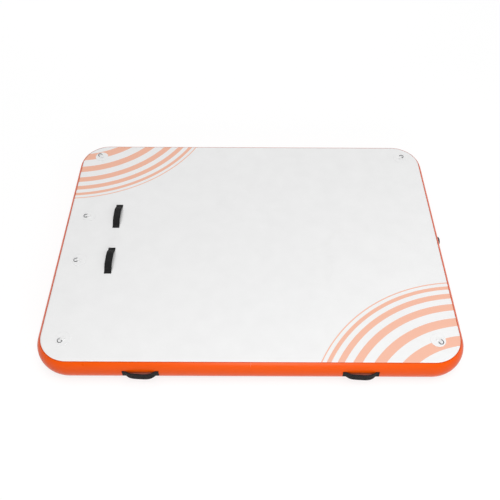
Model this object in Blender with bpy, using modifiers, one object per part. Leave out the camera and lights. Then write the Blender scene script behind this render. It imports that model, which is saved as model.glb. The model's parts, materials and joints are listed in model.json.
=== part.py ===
# Inflatable dock platform: a drop-stitch air deck with webbing handles, D-rings and an inflation valve.
# Metres. +Z is up, +X runs along the length, and -Y is the front side, with two of the side handles.
# The origin is the centre of the underside.

import math

import bmesh
import bpy
from mathutils import Matrix, Vector

# The hull
DOCK_LENGTH = 2.44
DOCK_WIDTH = 1.83
DOCK_THICKNESS = 0.152
WALL_BULGE = 0.030  # how far air pressure pushes the side wall out past the deck's edge
CORNER_RADIUS = 0.205  # in plan, at the widest line of the wall
SHOULDER_RADIUS = 0.018  # where the deck's edge rolls down into the wall
SKIN_THICKNESS = 0.0011
BAND_THICKNESS = 0.0012
LAP_WIDTH = 0.030  # how far each sheet is tucked under the side band
BAND_EDGE_ANGLE = math.radians(60)  # the skin's slope where the side band ends
JOIN_TAPE_WIDTH = 0.060
JOIN_TAPE_THICKNESS = 0.0010
JOIN_TAPE_INSET = 0.004  # from the edges of the two sheets
VALVE_PANEL_LENGTH = 0.400  # of the straight stretch of side band that carries the valve
SEAT_GAP = 0.0003  # between pieces that touch

# The threads that hold the two sheets apart
CORE_INSET = 0.055
CORE_CLOTH_THICKNESS = 0.0006
YARN_RADIUS = 0.0022
YARN_SPACING = 0.240

# Webbing handles on the deck and on the sides
STRAP_WIDTH = 0.044
STRAP_THICKNESS = 0.0045
STRAP_FREE_LENGTH = 0.166
STRAP_SEWN_LENGTH = 0.018
DECK_STRAP_RISE = 0.026
SIDE_STRAP_RISE = 0.0185
STRAP_FLATNESS = 4  # the higher, the flatter the arch is on top
STRAP_FOOT_EASE = 1.5  # the higher, the softer the arch leaves its sewn ends
STRAP_LEAN = math.radians(25)
STRAP_LEAN_CLEARANCE = 0.0010
GRIP_RISE_SHARE = 0.8  # the grip ends no higher up the arch than this share of its rise
SETTLE_RISE_SHARE = 0.5  # a strap has left the wall's curve at this share of its rise
SIDE_STRAP_TWIST = math.radians(7)  # how far a side handle's middle turns its face up
DECK_HANDLE_INSET = 0.346  # from the left end
DECK_HANDLE_BACK_Y = 0.197
DECK_HANDLE_FRONT_Y = -0.176
LEFT_SIDE_HANDLE_INSET = 0.609  # from the left end
RIGHT_SIDE_HANDLE_INSET = 0.606  # from the right end

# D-rings on round patches
RING_WIRE_RADIUS = 0.0020
RING_HALF_WIDTH = 0.0130  # to the wire's centreline
RING_ARM_LENGTH = 0.0085
RING_BEND_RADIUS = 0.0030
RING_CLEARANCE = 0.0003
TAB_WIDTH = 0.0180
TAB_THICKNESS = 0.0011
TAB_TAIL_LENGTH = 0.0240
TAB_WRAP_ANGLE = math.radians(110)  # how far the tab's upper layer is folded over the bar
PATCH_RADIUS = 0.044
PATCH_THICKNESS = 0.0012
PATCH_EDGE = 0.0008  # the patch's thin bevelled rim
PATCH_OFFSET = 0.012  # from the ring's bar back to the patch's middle, under the tab
BACK_RING_END_INSET = 0.138  # from either end
FRONT_RING_END_INSET = 0.145  # from either end
BACK_RING_INSET = 0.123  # from the back
FRONT_RING_INSET = 0.159  # from the front
LADDER_RING_INSET = 0.133  # from the left end
LADDER_RING_BACK_Y = 0.199
LADDER_RING_FRONT_Y = -0.173

# The inflation valve, in the middle of the right side
VALVE_Y = 0.058
BORE_RADIUS = 0.0175
BARREL_WALL = 0.0035
FLANGE_WIDTH = 0.0100  # from the barrel to the flange's rim
FLANGE_THICKNESS = 0.0022
BARREL_DEPTH = 0.0300
GASKET_THICKNESS = 0.0010
NUT_WIDTH = 0.0080
NUT_THICKNESS = 0.0060
HUB_RADIUS = 0.0060
HUB_DEPTH = 0.0220  # from the wall to the outer face of the stem's guide
HUB_THICKNESS = 0.0030
HUB_RIB_WIDTH = 0.0030
HUB_RIBS = 4
STEM_RADIUS = 0.0030
STEM_CLEARANCE = 0.0003
STEM_HEAD_RADIUS = 0.0055
STEM_HEAD_THICKNESS = 0.0020
BUTTON_RADIUS = 0.0070
BUTTON_THICKNESS = 0.0030
BUTTON_BAR_WIDTH = 0.0025
BUTTON_BAR_HEIGHT = 0.0012
DISC_OVERLAP = 0.0015  # of the disc over the barrel's bore
DISC_THICKNESS = 0.0020
SEAL_THICKNESS = 0.0015
VALVE_TRAVEL = 0.0045
SPRING_RADIUS = 0.0047
SPRING_WIRE_RADIUS = 0.0004
SPRING_SPARE = 0.0005  # left between the turns when the button is fully in
SPRING_TURNS = 4
CAP_RIM = 0.0055  # of the cap outside the bore
CAP_THICKNESS = 0.0042
CAP_EDGE = 0.0010
CAP_BOSS_CLEARANCE = 0.0006  # between the boss and the bore it screws into
CAP_BOSS_DEPTH = 0.0030
CAP_SCALLOP_RADIUS = 0.0030
CAP_SCALLOP_BITE = 0.0012
CAP_SCALLOPS = 8
CAP_SEAL_WIDTH = 0.0018
CAP_SEAL_INSET = 0.0004  # from the bore's rim to the seal
TETHER_WIDTH = 0.0022
TETHER_THICKNESS = 0.0013
TETHER_GAP = 0.0015
TETHER_SWEEP = math.radians(150)
PEG_RADIUS = 0.0015
PEG_HEIGHT = 0.0028
PEG_CLEARANCE = 0.0003
EYE_WIDTH = 0.0012

# How finely curves are faceted
SHARP_ANGLE = math.radians(30)
MERGE_DISTANCE = 0.00001
CUT_OVERRUN = 0.010
CORNER_STEPS = 8
WALL_STEPS = 12
SHOULDER_STEPS = 3
ROUND_STEPS = 24
SMALL_ROUND_STEPS = 12
STRAP_STEPS = 8
STRAP_WIDTH_STEPS = 4

# Colour, roughness and metallic value
FINISHES = {
    "white_pvc": ((0.80, 0.81, 0.83), 0.45, 0.0),
    "orange_pvc": ((0.88, 0.13, 0.01), 0.40, 0.0),
    "black_webbing": ((0.018, 0.018, 0.019), 0.85, 0.0),
    "white_yarn": ((0.75, 0.75, 0.72), 0.90, 0.0),
    "stainless_steel": ((0.62, 0.63, 0.65), 0.22, 1.0),
    "black_plastic": ((0.022, 0.022, 0.024), 0.42, 0.0),
    "grey_plastic": ((0.30, 0.31, 0.33), 0.45, 0.0),
    "black_rubber": ((0.030, 0.030, 0.032), 0.75, 0.0),
}

# Sizes that follow from the ones above
WALL_RADIUS = (WALL_BULGE**2 + (DOCK_THICKNESS / 2) ** 2) / (2 * WALL_BULGE)
WALL_CENTRE = WALL_BULGE - WALL_RADIUS  # measured outwards from the seam line
SKIN_RADIUS = WALL_RADIUS - SEAT_GAP - BAND_THICKNESS
SHOULDER_RISE = DOCK_THICKNESS / 2 - SHOULDER_RADIUS
SHOULDER_ANGLE = math.asin(SHOULDER_RISE / (SKIN_RADIUS - SHOULDER_RADIUS))
SHOULDER_CENTRE = WALL_CENTRE + (SKIN_RADIUS - SHOULDER_RADIUS) * math.cos(SHOULDER_ANGLE)
SHOULDER_LAP = SHOULDER_RADIUS * (BAND_EDGE_ANGLE - SHOULDER_ANGLE)
LAP_ANGLE = SHOULDER_ANGLE - (LAP_WIDTH - SHOULDER_LAP) / SKIN_RADIUS
SEAM_HALF_LENGTH = DOCK_LENGTH / 2 - WALL_BULGE
SEAM_HALF_WIDTH = DOCK_WIDTH / 2 - WALL_BULGE
SEAM_CORNER_RADIUS = CORNER_RADIUS - WALL_BULGE
BARREL_RADIUS = BORE_RADIUS + BARREL_WALL
FLANGE_RADIUS = BARREL_RADIUS + FLANGE_WIDTH
NUT_RADIUS = BARREL_RADIUS + NUT_WIDTH
DISC_RADIUS = BORE_RADIUS + DISC_OVERLAP
CAP_RADIUS = BORE_RADIUS + CAP_RIM


def new_collection(name):
    made = bpy.data.collections.new(name)
    bpy.context.scene.collection.children.link(made)
    return made


def clear_scene():
    for thing in list(bpy.data.objects):
        bpy.data.objects.remove(thing, do_unlink=True)
    for group in list(bpy.data.collections):
        bpy.data.collections.remove(group)


clear_scene()
PARTS = new_collection("inflatable_dock_platform")
CUTTERS = new_collection("cutters")


def give_finish(part, finish):
    colour, roughness, metallic = FINISHES[finish]
    made = bpy.data.materials.new(part.name + "_" + finish)
    made.use_nodes = True
    shader = made.node_tree.nodes["Principled BSDF"]
    shader.inputs["Base Color"].default_value = (*colour, 1.0)
    shader.inputs["Roughness"].default_value = roughness
    shader.inputs["Metallic"].default_value = metallic
    part.data.materials.clear()
    part.data.materials.append(made)


def add_part(part, finish, parent=None):
    if part.name not in PARTS.objects:
        PARTS.objects.link(part)
    part.parent = parent
    give_finish(part, finish)
    part.data.shade_smooth()
    part.data.set_sharp_from_angle(angle=SHARP_ANGLE)
    return part


def add_cutter(cutter, parent=None):
    if cutter.name not in CUTTERS.objects:
        CUTTERS.objects.link(cutter)
    cutter.parent = parent
    cutter.hide_render = True
    cutter.display_type = "WIRE"
    return cutter


def combine(part, other, operation):
    """A live Boolean: DIFFERENCE, UNION or INTERSECT with a cutter."""
    step = part.modifiers.new(operation.lower() + "_" + other.name, "BOOLEAN")
    step.operation = operation
    step.solver = "EXACT"
    step.object = other


def empty_at(name, place, turn=(0.0, 0.0, 0.0)):
    made = bpy.data.objects.new(name, None)
    made.location = place
    made.rotation_euler = turn
    PARTS.objects.link(made)
    return made


def mesh_object(name, shape):
    bmesh.ops.recalc_face_normals(shape, faces=shape.faces)
    mesh = bpy.data.meshes.new(name)
    shape.to_mesh(mesh)
    shape.free()
    return bpy.data.objects.new(name, mesh)


def loft(name, rows):
    """A closed solid through rings of points, with its first and last ring filled."""
    shape = bmesh.new()
    rings = [[shape.verts.new(point) for point in row] for row in rows]
    for near, far in zip(rings, rings[1:]):
        for i in range(len(near)):
            shape.faces.new((near[i - 1], near[i], far[i], far[i - 1]))
    shape.faces.new(rings[0])
    shape.faces.new(rings[-1])
    return mesh_object(name, shape)


def turned(name, profile, steps=ROUND_STEPS):
    """A solid turned round Z from a closed outline of (radius, height) points."""
    shape = bmesh.new()
    points = [shape.verts.new((radius, 0, height)) for radius, height in profile]
    for i in range(len(points)):
        if profile[i - 1][0] > 0 or profile[i][0] > 0:  # an edge on the axis makes no surface
            shape.edges.new((points[i - 1], points[i]))
    guide = mesh_object(name + "_profile", shape)
    screw = guide.modifiers.new("turn", "SCREW")
    screw.axis = "Z"
    screw.angle = math.tau
    screw.steps = steps
    screw.render_steps = steps
    screw.use_merge_vertices = True
    screw.merge_threshold = MERGE_DISTANCE
    return settled(name, guide)


def settled(name, guide):
    """The guide's evaluated shape as a welded mesh object; the guide is removed."""
    PARTS.objects.link(guide)
    graph = bpy.context.evaluated_depsgraph_get()
    mesh = bpy.data.meshes.new_from_object(guide.evaluated_get(graph))
    shape = bmesh.new()
    shape.from_mesh(mesh)
    bmesh.ops.remove_doubles(shape, verts=shape.verts, dist=MERGE_DISTANCE)
    bpy.data.objects.remove(guide, do_unlink=True)
    bpy.data.meshes.remove(mesh)
    return mesh_object(name, shape)


def cylinder(name, radius, low, high, steps=ROUND_STEPS, place=Matrix()):
    """A cylinder from low to high along Z, then moved by the matrix in place."""
    shape = bmesh.new()
    bmesh.ops.create_cone(
        shape, cap_ends=True, segments=steps, radius1=radius, radius2=radius, depth=high - low
    )
    bmesh.ops.transform(
        shape, matrix=place @ Matrix.Translation((0, 0, (high + low) / 2)), verts=shape.verts
    )
    return mesh_object(name, shape)


def box(name, low, high):
    shape = bmesh.new()
    bmesh.ops.create_cube(shape, size=1)
    middle = (Vector(low) + Vector(high)) / 2
    size = Vector(high) - Vector(low)
    bmesh.ops.transform(
        shape, matrix=Matrix.Translation(middle) @ Matrix.Diagonal((*size, 1)), verts=shape.verts
    )
    return mesh_object(name, shape)


def between(low, high, steps):
    return [low + (high - low) * i / steps for i in range(steps + 1)]


# The hull's skin is followed by the slope of its surface: a right angle on the deck, none half way down


def skin_point(slope, lift):
    """(outwards from the seam line, height) of a point lifted off the sheets' outer surface."""
    if slope >= SHOULDER_ANGLE:
        centre, height, radius = SHOULDER_CENTRE, DOCK_THICKNESS - SHOULDER_RADIUS, SHOULDER_RADIUS
    elif slope <= -SHOULDER_ANGLE:
        centre, height, radius = SHOULDER_CENTRE, SHOULDER_RADIUS, SHOULDER_RADIUS
    else:
        centre, height, radius = WALL_CENTRE, DOCK_THICKNESS / 2, SKIN_RADIUS
    reach = radius + lift
    return centre + reach * math.cos(slope), height + reach * math.sin(slope)


def corner_turns(sign_x, sign_y):
    """The outward directions round one corner, from the end wall to the long wall."""
    turns = between(0, math.pi / 2, CORNER_STEPS)
    return [(sign_x * math.cos(turn), sign_y * math.sin(turn)) for turn in turns]


def corner_point(sign_x, sign_y, direction, outwards, height):
    middle_x = sign_x * (SEAM_HALF_LENGTH - SEAM_CORNER_RADIUS)
    middle_y = sign_y * (SEAM_HALF_WIDTH - SEAM_CORNER_RADIUS)
    reach = SEAM_CORNER_RADIUS + outwards
    return middle_x + reach * direction[0], middle_y + reach * direction[1], height


def plan_ring(outwards, height):
    """The dock's rounded outline, let out from the seam line, at one height."""
    ring = []
    for sign_x, sign_y in ((1, 1), (-1, 1), (-1, -1), (1, -1)):
        turns = corner_turns(sign_x, sign_y)
        if sign_x * sign_y < 0:
            turns.reverse()
        ring += [corner_point(sign_x, sign_y, turn, outwards, height) for turn in turns]
    return ring


def sheet_slopes():
    shoulder = between(math.pi / 2, SHOULDER_ANGLE, SHOULDER_STEPS)
    return shoulder + between(SHOULDER_ANGLE, LAP_ANGLE, SHOULDER_STEPS)[1:]


def make_sheet(name, side):
    """The deck for side 1, the base for side -1: a flat sheet whose rolled rim is tucked under the band."""
    outer = [skin_point(side * slope, 0) for slope in sheet_slopes()]
    inner = [skin_point(side * slope, -SKIN_THICKNESS) for slope in sheet_slopes()]
    return add_part(loft(name, [plan_ring(*point) for point in outer + inner[::-1]]), "white_pvc")


def band_slopes():
    upper = between(BAND_EDGE_ANGLE, SHOULDER_ANGLE, SHOULDER_STEPS)
    wall = between(SHOULDER_ANGLE, -SHOULDER_ANGLE, WALL_STEPS)[1:]
    return upper + wall + [-slope for slope in upper[::-1]][1:]


def band_section():
    outer = [skin_point(slope, SEAT_GAP + BAND_THICKNESS) for slope in band_slopes()]
    inner = [skin_point(slope, SEAT_GAP) for slope in band_slopes()]
    return outer + inner[::-1]


def make_valve_panel(front_y, back_y):
    """The straight strip of the right side's band between the two corner strips."""
    rows = []
    for y in (front_y + SEAT_GAP / 2, back_y - SEAT_GAP / 2):
        rows.append([(SEAM_HALF_LENGTH + out, y, height) for out, height in band_section()])
    return add_part(loft("side_band_valve", rows), "orange_pvc")


def make_band(name, sign_x, sign_y, join_x, join_y):
    """One strip of the side band, from the end wall's join round a corner to the long wall's join."""
    section = band_section()
    edge_x = join_x + sign_x * SEAT_GAP / 2
    edge_y = join_y + sign_y * SEAT_GAP / 2
    rows = [[(sign_x * (SEAM_HALF_LENGTH + out), edge_y, height) for out, height in section]]
    for turn in corner_turns(sign_x, sign_y):
        rows.append([corner_point(sign_x, sign_y, turn, out, height) for out, height in section])
    rows.append([(edge_x, sign_y * (SEAM_HALF_WIDTH + out), height) for out, height in section])
    return add_part(loft(name, rows), "orange_pvc")


def make_join_tape(name, middle, along):
    """A tape behind a butt join of the band, between the edges of the two sheets."""
    edge = LAP_ANGLE - JOIN_TAPE_INSET / SKIN_RADIUS
    slopes = between(edge, -edge, WALL_STEPS)
    section = [skin_point(slope, 0) for slope in slopes]
    section += [skin_point(slope, -JOIN_TAPE_THICKNESS) for slope in slopes[::-1]]
    outwards = Vector((abs(along[1]), abs(along[0]), 0))
    facing = outwards * (1 if outwards.dot(middle) > 0 else -1)
    rows = []
    for shift in (-JOIN_TAPE_WIDTH / 2, JOIN_TAPE_WIDTH / 2):
        start = Vector(middle) + Vector(along) * shift
        rows.append([start + facing * out + Vector((0, 0, height)) for out, height in section])
    return add_part(loft(name, rows), "orange_pvc")


def make_core():
    """The woven backing inside each sheet and the yarns between them, as one piece."""
    top = DOCK_THICKNESS - SKIN_THICKNESS - SEAT_GAP
    bottom = SKIN_THICKNESS + SEAT_GAP
    cloth = CORE_CLOTH_THICKNESS
    core = loft("drop_stitch_core", [plan_ring(-CORE_INSET, top), plan_ring(-CORE_INSET, top - cloth)])
    lower_cloth = [plan_ring(-CORE_INSET, bottom + cloth), plan_ring(-CORE_INSET, bottom)]
    lower = loft("core_lower_cloth", lower_cloth)
    half_length = SEAM_HALF_LENGTH - SEAM_CORNER_RADIUS
    half_width = SEAM_HALF_WIDTH - SEAM_CORNER_RADIUS
    across = max(2, round(2 * half_length / YARN_SPACING))
    deep = max(2, round(2 * half_width / YARN_SPACING))
    shape = bmesh.new()
    for x in between(-half_length, half_length, across):
        for y in between(-half_width, half_width, deep):
            middle = Matrix.Translation((x, y, DOCK_THICKNESS / 2))
            bmesh.ops.create_cone(
                shape,
                cap_ends=True,
                segments=3,
                radius1=YARN_RADIUS,
                radius2=YARN_RADIUS,
                depth=top - bottom - cloth,
                matrix=middle,
            )
    yarns = mesh_object("core_yarns", shape)
    add_part(core, "white_yarn")
    for piece in (add_cutter(yarns), add_cutter(lower)):
        combine(core, piece, "UNION")


def make_hull():
    make_sheet("deck_sheet", 1)
    make_sheet("base_sheet", -1)
    panel_front = VALVE_Y - VALVE_PANEL_LENGTH / 2
    panel_back = VALVE_Y + VALVE_PANEL_LENGTH / 2
    make_band("side_band_front_left", -1, -1, 0, 0)
    make_band("side_band_front_right", 1, -1, 0, panel_front)
    make_band("side_band_back_left", -1, 1, 0, 0)
    make_band("side_band_back_right", 1, 1, 0, panel_back)
    make_join_tape("band_join_front", (0, -SEAM_HALF_WIDTH, 0), (1, 0, 0))
    make_join_tape("band_join_back", (0, SEAM_HALF_WIDTH, 0), (1, 0, 0))
    make_join_tape("band_join_left", (-SEAM_HALF_LENGTH, 0, 0), (0, 1, 0))
    make_join_tape("band_join_right_front", (SEAM_HALF_LENGTH, panel_front, 0), (0, 1, 0))
    make_join_tape("band_join_right_back", (SEAM_HALF_LENGTH, panel_back, 0), (0, 1, 0))
    make_core()
    return make_valve_panel(panel_front, panel_back)


# Handles. In a handle's own frame X runs along the strap, Z points away from what it is sewn to


def strap_rise(along, top):
    """Height of a strap sewn flat at both ends and arched between them."""
    reach = min(1, abs(along) / (STRAP_FREE_LENGTH / 2))
    return top * (1 - reach**STRAP_FLATNESS) ** STRAP_FOOT_EASE


def strap_slope(along, top):
    half = STRAP_FREE_LENGTH / 2
    reach = min(1, abs(along) / half)
    eased = STRAP_FOOT_EASE * (1 - reach**STRAP_FLATNESS) ** (STRAP_FOOT_EASE - 1)
    fall = top * eased * STRAP_FLATNESS * reach ** (STRAP_FLATNESS - 1) / half
    return math.atan(math.copysign(fall, -along))


def grip_half_length(top):
    """Where the strap is high enough to lean over without touching what it is sewn to."""
    needed = STRAP_WIDTH / 2 * math.tan(STRAP_LEAN + SIDE_STRAP_TWIST) + STRAP_LEAN_CLEARANCE
    share = min(GRIP_RISE_SHARE, needed / top)
    return STRAP_FREE_LENGTH / 2 * (1 - share ** (1 / STRAP_FOOT_EASE)) ** (1 / STRAP_FLATNESS)


def strap_section(along, top, twist, surface_radius):
    """The strap's outline across its width; near its ends it follows a round wall."""
    rise = strap_rise(along, top)
    middle = SEAT_GAP + STRAP_THICKNESS / 2 + rise
    half = STRAP_THICKNESS / 2 / math.cos(strap_slope(along, top))
    turn = twist * rise / top
    settle = 1 - min(1, rise / (SETTLE_RISE_SHARE * top))
    upper = []
    lower = []
    for across in between(-STRAP_WIDTH / 2, STRAP_WIDTH / 2, STRAP_WIDTH_STEPS):
        drop = 0.0
        if surface_radius:
            drop = settle * (surface_radius - math.sqrt(surface_radius**2 - across**2))
        for side, height in ((upper, half), (lower, -half)):
            sideways = across * math.cos(turn) - height * math.sin(turn)
            lifted = across * math.sin(turn) + height * math.cos(turn)
            side.append((along, sideways, middle + lifted - drop))
    return upper + lower[::-1]


def make_handle(name, place, turn, top, twist=0, surface_radius=None):
    frame = empty_at(name, place, turn)
    grip_end = grip_half_length(top)
    far_end = STRAP_FREE_LENGTH / 2 + STRAP_SEWN_LENGTH
    grip = between(-grip_end, grip_end, STRAP_STEPS)
    rows = [strap_section(along, top, twist, surface_radius) for along in grip]
    add_part(loft(name + "_grip", rows), "black_webbing", frame)
    start = grip_end + SEAT_GAP
    for label, side in (("end_1", -1), ("end_2", 1)):
        foot = [far_end] + between(STRAP_FREE_LENGTH / 2, start, STRAP_STEPS // 2)
        rows = [strap_section(side * along, top, twist, surface_radius) for along in foot]
        add_part(loft(name + "_" + label, rows), "black_webbing", frame)


def make_handles():
    quarter = math.pi / 2
    for label, y in (("back", DECK_HANDLE_BACK_Y), ("front", DECK_HANDLE_FRONT_Y)):
        place = (DECK_HANDLE_INSET - DOCK_LENGTH / 2, y, DOCK_THICKNESS)
        make_handle("deck_handle_" + label, place, (0, 0, quarter), DECK_STRAP_RISE)
    left_x = LEFT_SIDE_HANDLE_INSET - DOCK_LENGTH / 2
    right_x = DOCK_LENGTH / 2 - RIGHT_SIDE_HANDLE_INSET
    for end, x in (("left", left_x), ("right", right_x)):
        front = (x, -DOCK_WIDTH / 2, DOCK_THICKNESS / 2)
        back = (x, DOCK_WIDTH / 2, DOCK_THICKNESS / 2)
        for side, place, turn in (("front_", front, 0), ("back_", back, math.pi)):
            name = "side_handle_" + side + end
            make_handle(name, place, (quarter, 0, turn), SIDE_STRAP_RISE, -SIDE_STRAP_TWIST, WALL_RADIUS)


# D-rings. In a ring's own frame X is the bar, Y points to the ring's round end and Z is up

TAB_ROUND = RING_WIRE_RADIUS + RING_CLEARANCE + TAB_THICKNESS
PATCH_TOP = SEAT_GAP + PATCH_THICKNESS
BAR_HEIGHT = PATCH_TOP + SEAT_GAP + TAB_ROUND
RING_REACH = RING_ARM_LENGTH + RING_HALF_WIDTH
RING_DROOP = math.asin((BAR_HEIGHT - PATCH_TOP - SEAT_GAP - RING_WIRE_RADIUS) / RING_REACH)
TAIL_TOP = PATCH_TOP + SEAT_GAP + 2 * TAB_THICKNESS
LAID_BACK_RISE = TAIL_TOP + SEAT_GAP + RING_WIRE_RADIUS - BAR_HEIGHT
RING_LIFT = math.asin(LAID_BACK_RISE / (RING_REACH - RING_WIRE_RADIUS))
RING_SWING = math.pi + RING_DROOP - RING_LIFT  # from lying outwards on the patch to lying back on the tab


def ring_path():
    """The D's centreline: a bar, two rounded corners, two arms and a half circle."""
    inner = RING_HALF_WIDTH - RING_BEND_RADIUS
    points = []
    for turn in between(-math.pi / 2, 0, 3):
        points.append(
            (inner + RING_BEND_RADIUS * math.cos(turn), RING_BEND_RADIUS * (1 + math.sin(turn)), 0)
        )
    for turn in between(0, math.pi, 10):
        points.append(
            (RING_HALF_WIDTH * math.cos(turn), RING_ARM_LENGTH + RING_HALF_WIDTH * math.sin(turn), 0)
        )
    for turn in between(math.pi, 1.5 * math.pi, 3):
        points.append(
            (-inner + RING_BEND_RADIUS * math.cos(turn), RING_BEND_RADIUS * (1 + math.sin(turn)), 0)
        )
    return points


def make_wire(name, points, radius, closed, sides):
    """A round wire along the points; sides is the curve's bevel resolution."""
    curve = bpy.data.curves.new(name + "_path", "CURVE")
    curve.dimensions = "3D"
    curve.bevel_depth = radius
    curve.bevel_resolution = sides
    curve.use_fill_caps = not closed
    run = curve.splines.new("POLY")
    run.points.add(len(points) - 1)
    for spot, point in zip(run.points, points):
        spot.co = (*point, 1)
    run.use_cyclic_u = closed
    return settled(name, bpy.data.objects.new(name + "_path", curve))


def tab_outline(x):
    """The tab folded round the bar, seen along the bar: a flat double tail and a round eye."""
    low = -TAB_ROUND
    round_end = [
        (x, TAB_ROUND * math.cos(turn), TAB_ROUND * math.sin(turn))
        for turn in between(-math.pi / 2, TAB_WRAP_ANGLE, SMALL_ROUND_STEPS // 2)
    ]
    ramp = [(x, -2 * TAB_ROUND, low + 2 * TAB_THICKNESS), (x, -TAB_TAIL_LENGTH, low + 2 * TAB_THICKNESS)]
    return round_end + ramp + [(x, -TAB_TAIL_LENGTH, low)]


def make_ring(name, place, heading):
    """A ring whose round end lies towards the heading, on a patch that is centred under its tab."""
    turn = heading - math.pi / 2
    frame = empty_at(name + "_frame", (*place, DOCK_THICKNESS), (0, 0, turn))
    rim = PATCH_RADIUS - PATCH_EDGE
    profile = [(0, PATCH_TOP), (rim, PATCH_TOP), (PATCH_RADIUS, PATCH_TOP - PATCH_EDGE)]
    profile += [(PATCH_RADIUS, SEAT_GAP), (0, SEAT_GAP)]
    seat = empty_at(name + "_patch_middle", (0, -RING_REACH / 2 - PATCH_OFFSET, 0))
    seat.parent = frame
    add_part(turned(name + "_patch", profile), "white_pvc", seat)
    bar = empty_at(name + "_bar_axis", (0, -RING_REACH / 2, BAR_HEIGHT))
    bar.parent = frame
    tab = loft(name + "_tab", [tab_outline(-TAB_WIDTH / 2), tab_outline(TAB_WIDTH / 2)])
    add_part(tab, "white_pvc", bar)
    side_on = Matrix.Rotation(math.pi / 2, 4, "Y")
    reach = TAB_WIDTH / 2 + CUT_OVERRUN
    hole = RING_WIRE_RADIUS + RING_CLEARANCE
    eye = cylinder(name + "_eye", hole, -reach, reach, SMALL_ROUND_STEPS, side_on)
    combine(tab, add_cutter(eye, bar), "DIFFERENCE")
    ring = make_wire(name, ring_path(), RING_WIRE_RADIUS, True, 2)
    add_part(ring, "stainless_steel", bar)
    ring.rotation_euler = (-RING_DROOP, 0, 0)


def make_rings():
    eighth = math.pi / 4
    back_x = DOCK_LENGTH / 2 - BACK_RING_END_INSET
    front_x = DOCK_LENGTH / 2 - FRONT_RING_END_INSET
    back_y = DOCK_WIDTH / 2 - BACK_RING_INSET
    front_y = FRONT_RING_INSET - DOCK_WIDTH / 2
    ladder_x = LADDER_RING_INSET - DOCK_LENGTH / 2
    make_ring("d_ring_back_right", (back_x, back_y), eighth)
    make_ring("d_ring_back_left", (-back_x, back_y), 3 * eighth)
    make_ring("d_ring_front_left", (-front_x, front_y), 5 * eighth)
    make_ring("d_ring_front_right", (front_x, front_y), 7 * eighth)
    make_ring("d_ring_ladder_back", (ladder_x, LADDER_RING_BACK_Y), math.pi)
    make_ring("d_ring_ladder_front", (ladder_x, LADDER_RING_FRONT_Y), math.pi)
    print("rings swing", round(math.degrees(RING_SWING), 2), "degrees")


# The valve. In its own frame Z points out of the wall and zero is the wall's outermost line

GASKET_TOP = 2 * SEAT_GAP + GASKET_THICKNESS
FLANGE_FACE = GASKET_TOP + FLANGE_THICKNESS
TETHER_LOW = FLANGE_FACE + SEAT_GAP
CAP_LOW = TETHER_LOW + TETHER_THICKNESS + SEAT_GAP
CAP_TOP = CAP_LOW + CAP_THICKNESS
SEAT_FACE = -BARREL_DEPTH
HUB_FACE = -HUB_DEPTH
SPRING_LENGTH = VALVE_TRAVEL + 2 * SPRING_WIRE_RADIUS * (SPRING_TURNS + 1) + SPRING_SPARE
BUTTON_LOW = HUB_FACE + SPRING_LENGTH + 2 * SEAT_GAP
DISC_FACE = SEAT_FACE - SEAT_GAP - SEAL_THICKNESS - SEAT_GAP
CAP_BOSS_RADIUS = BORE_RADIUS - CAP_BOSS_CLEARANCE
CAP_SEAL_INNER = BORE_RADIUS + CAP_SEAL_INSET
TETHER_INNER = CAP_SEAL_INNER + CAP_SEAL_WIDTH + SEAT_GAP
TETHER_OUTER = TETHER_INNER + TETHER_WIDTH
ARM_INNER = CAP_RADIUS + TETHER_GAP
ARM_MIDDLE = ARM_INNER + TETHER_WIDTH / 2
EYE_RADIUS = PEG_RADIUS + PEG_CLEARANCE + EYE_WIDTH


def wall_roll(name, radius, valve):
    """The wall's own curve as a cutter: a cylinder along the wall, centred inside the hull."""
    lying = Matrix.Translation((0, 0, -WALL_RADIUS)) @ Matrix.Rotation(math.pi / 2, 4, "X")
    reach = FLANGE_RADIUS + CUT_OVERRUN
    return add_cutter(cylinder(name, radius, -reach, reach, 2 * ROUND_STEPS, lying), valve)


def ring_profile(inner, outer, low, high):
    return [(inner, high), (outer, high), (outer, low), (inner, low)]


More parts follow.
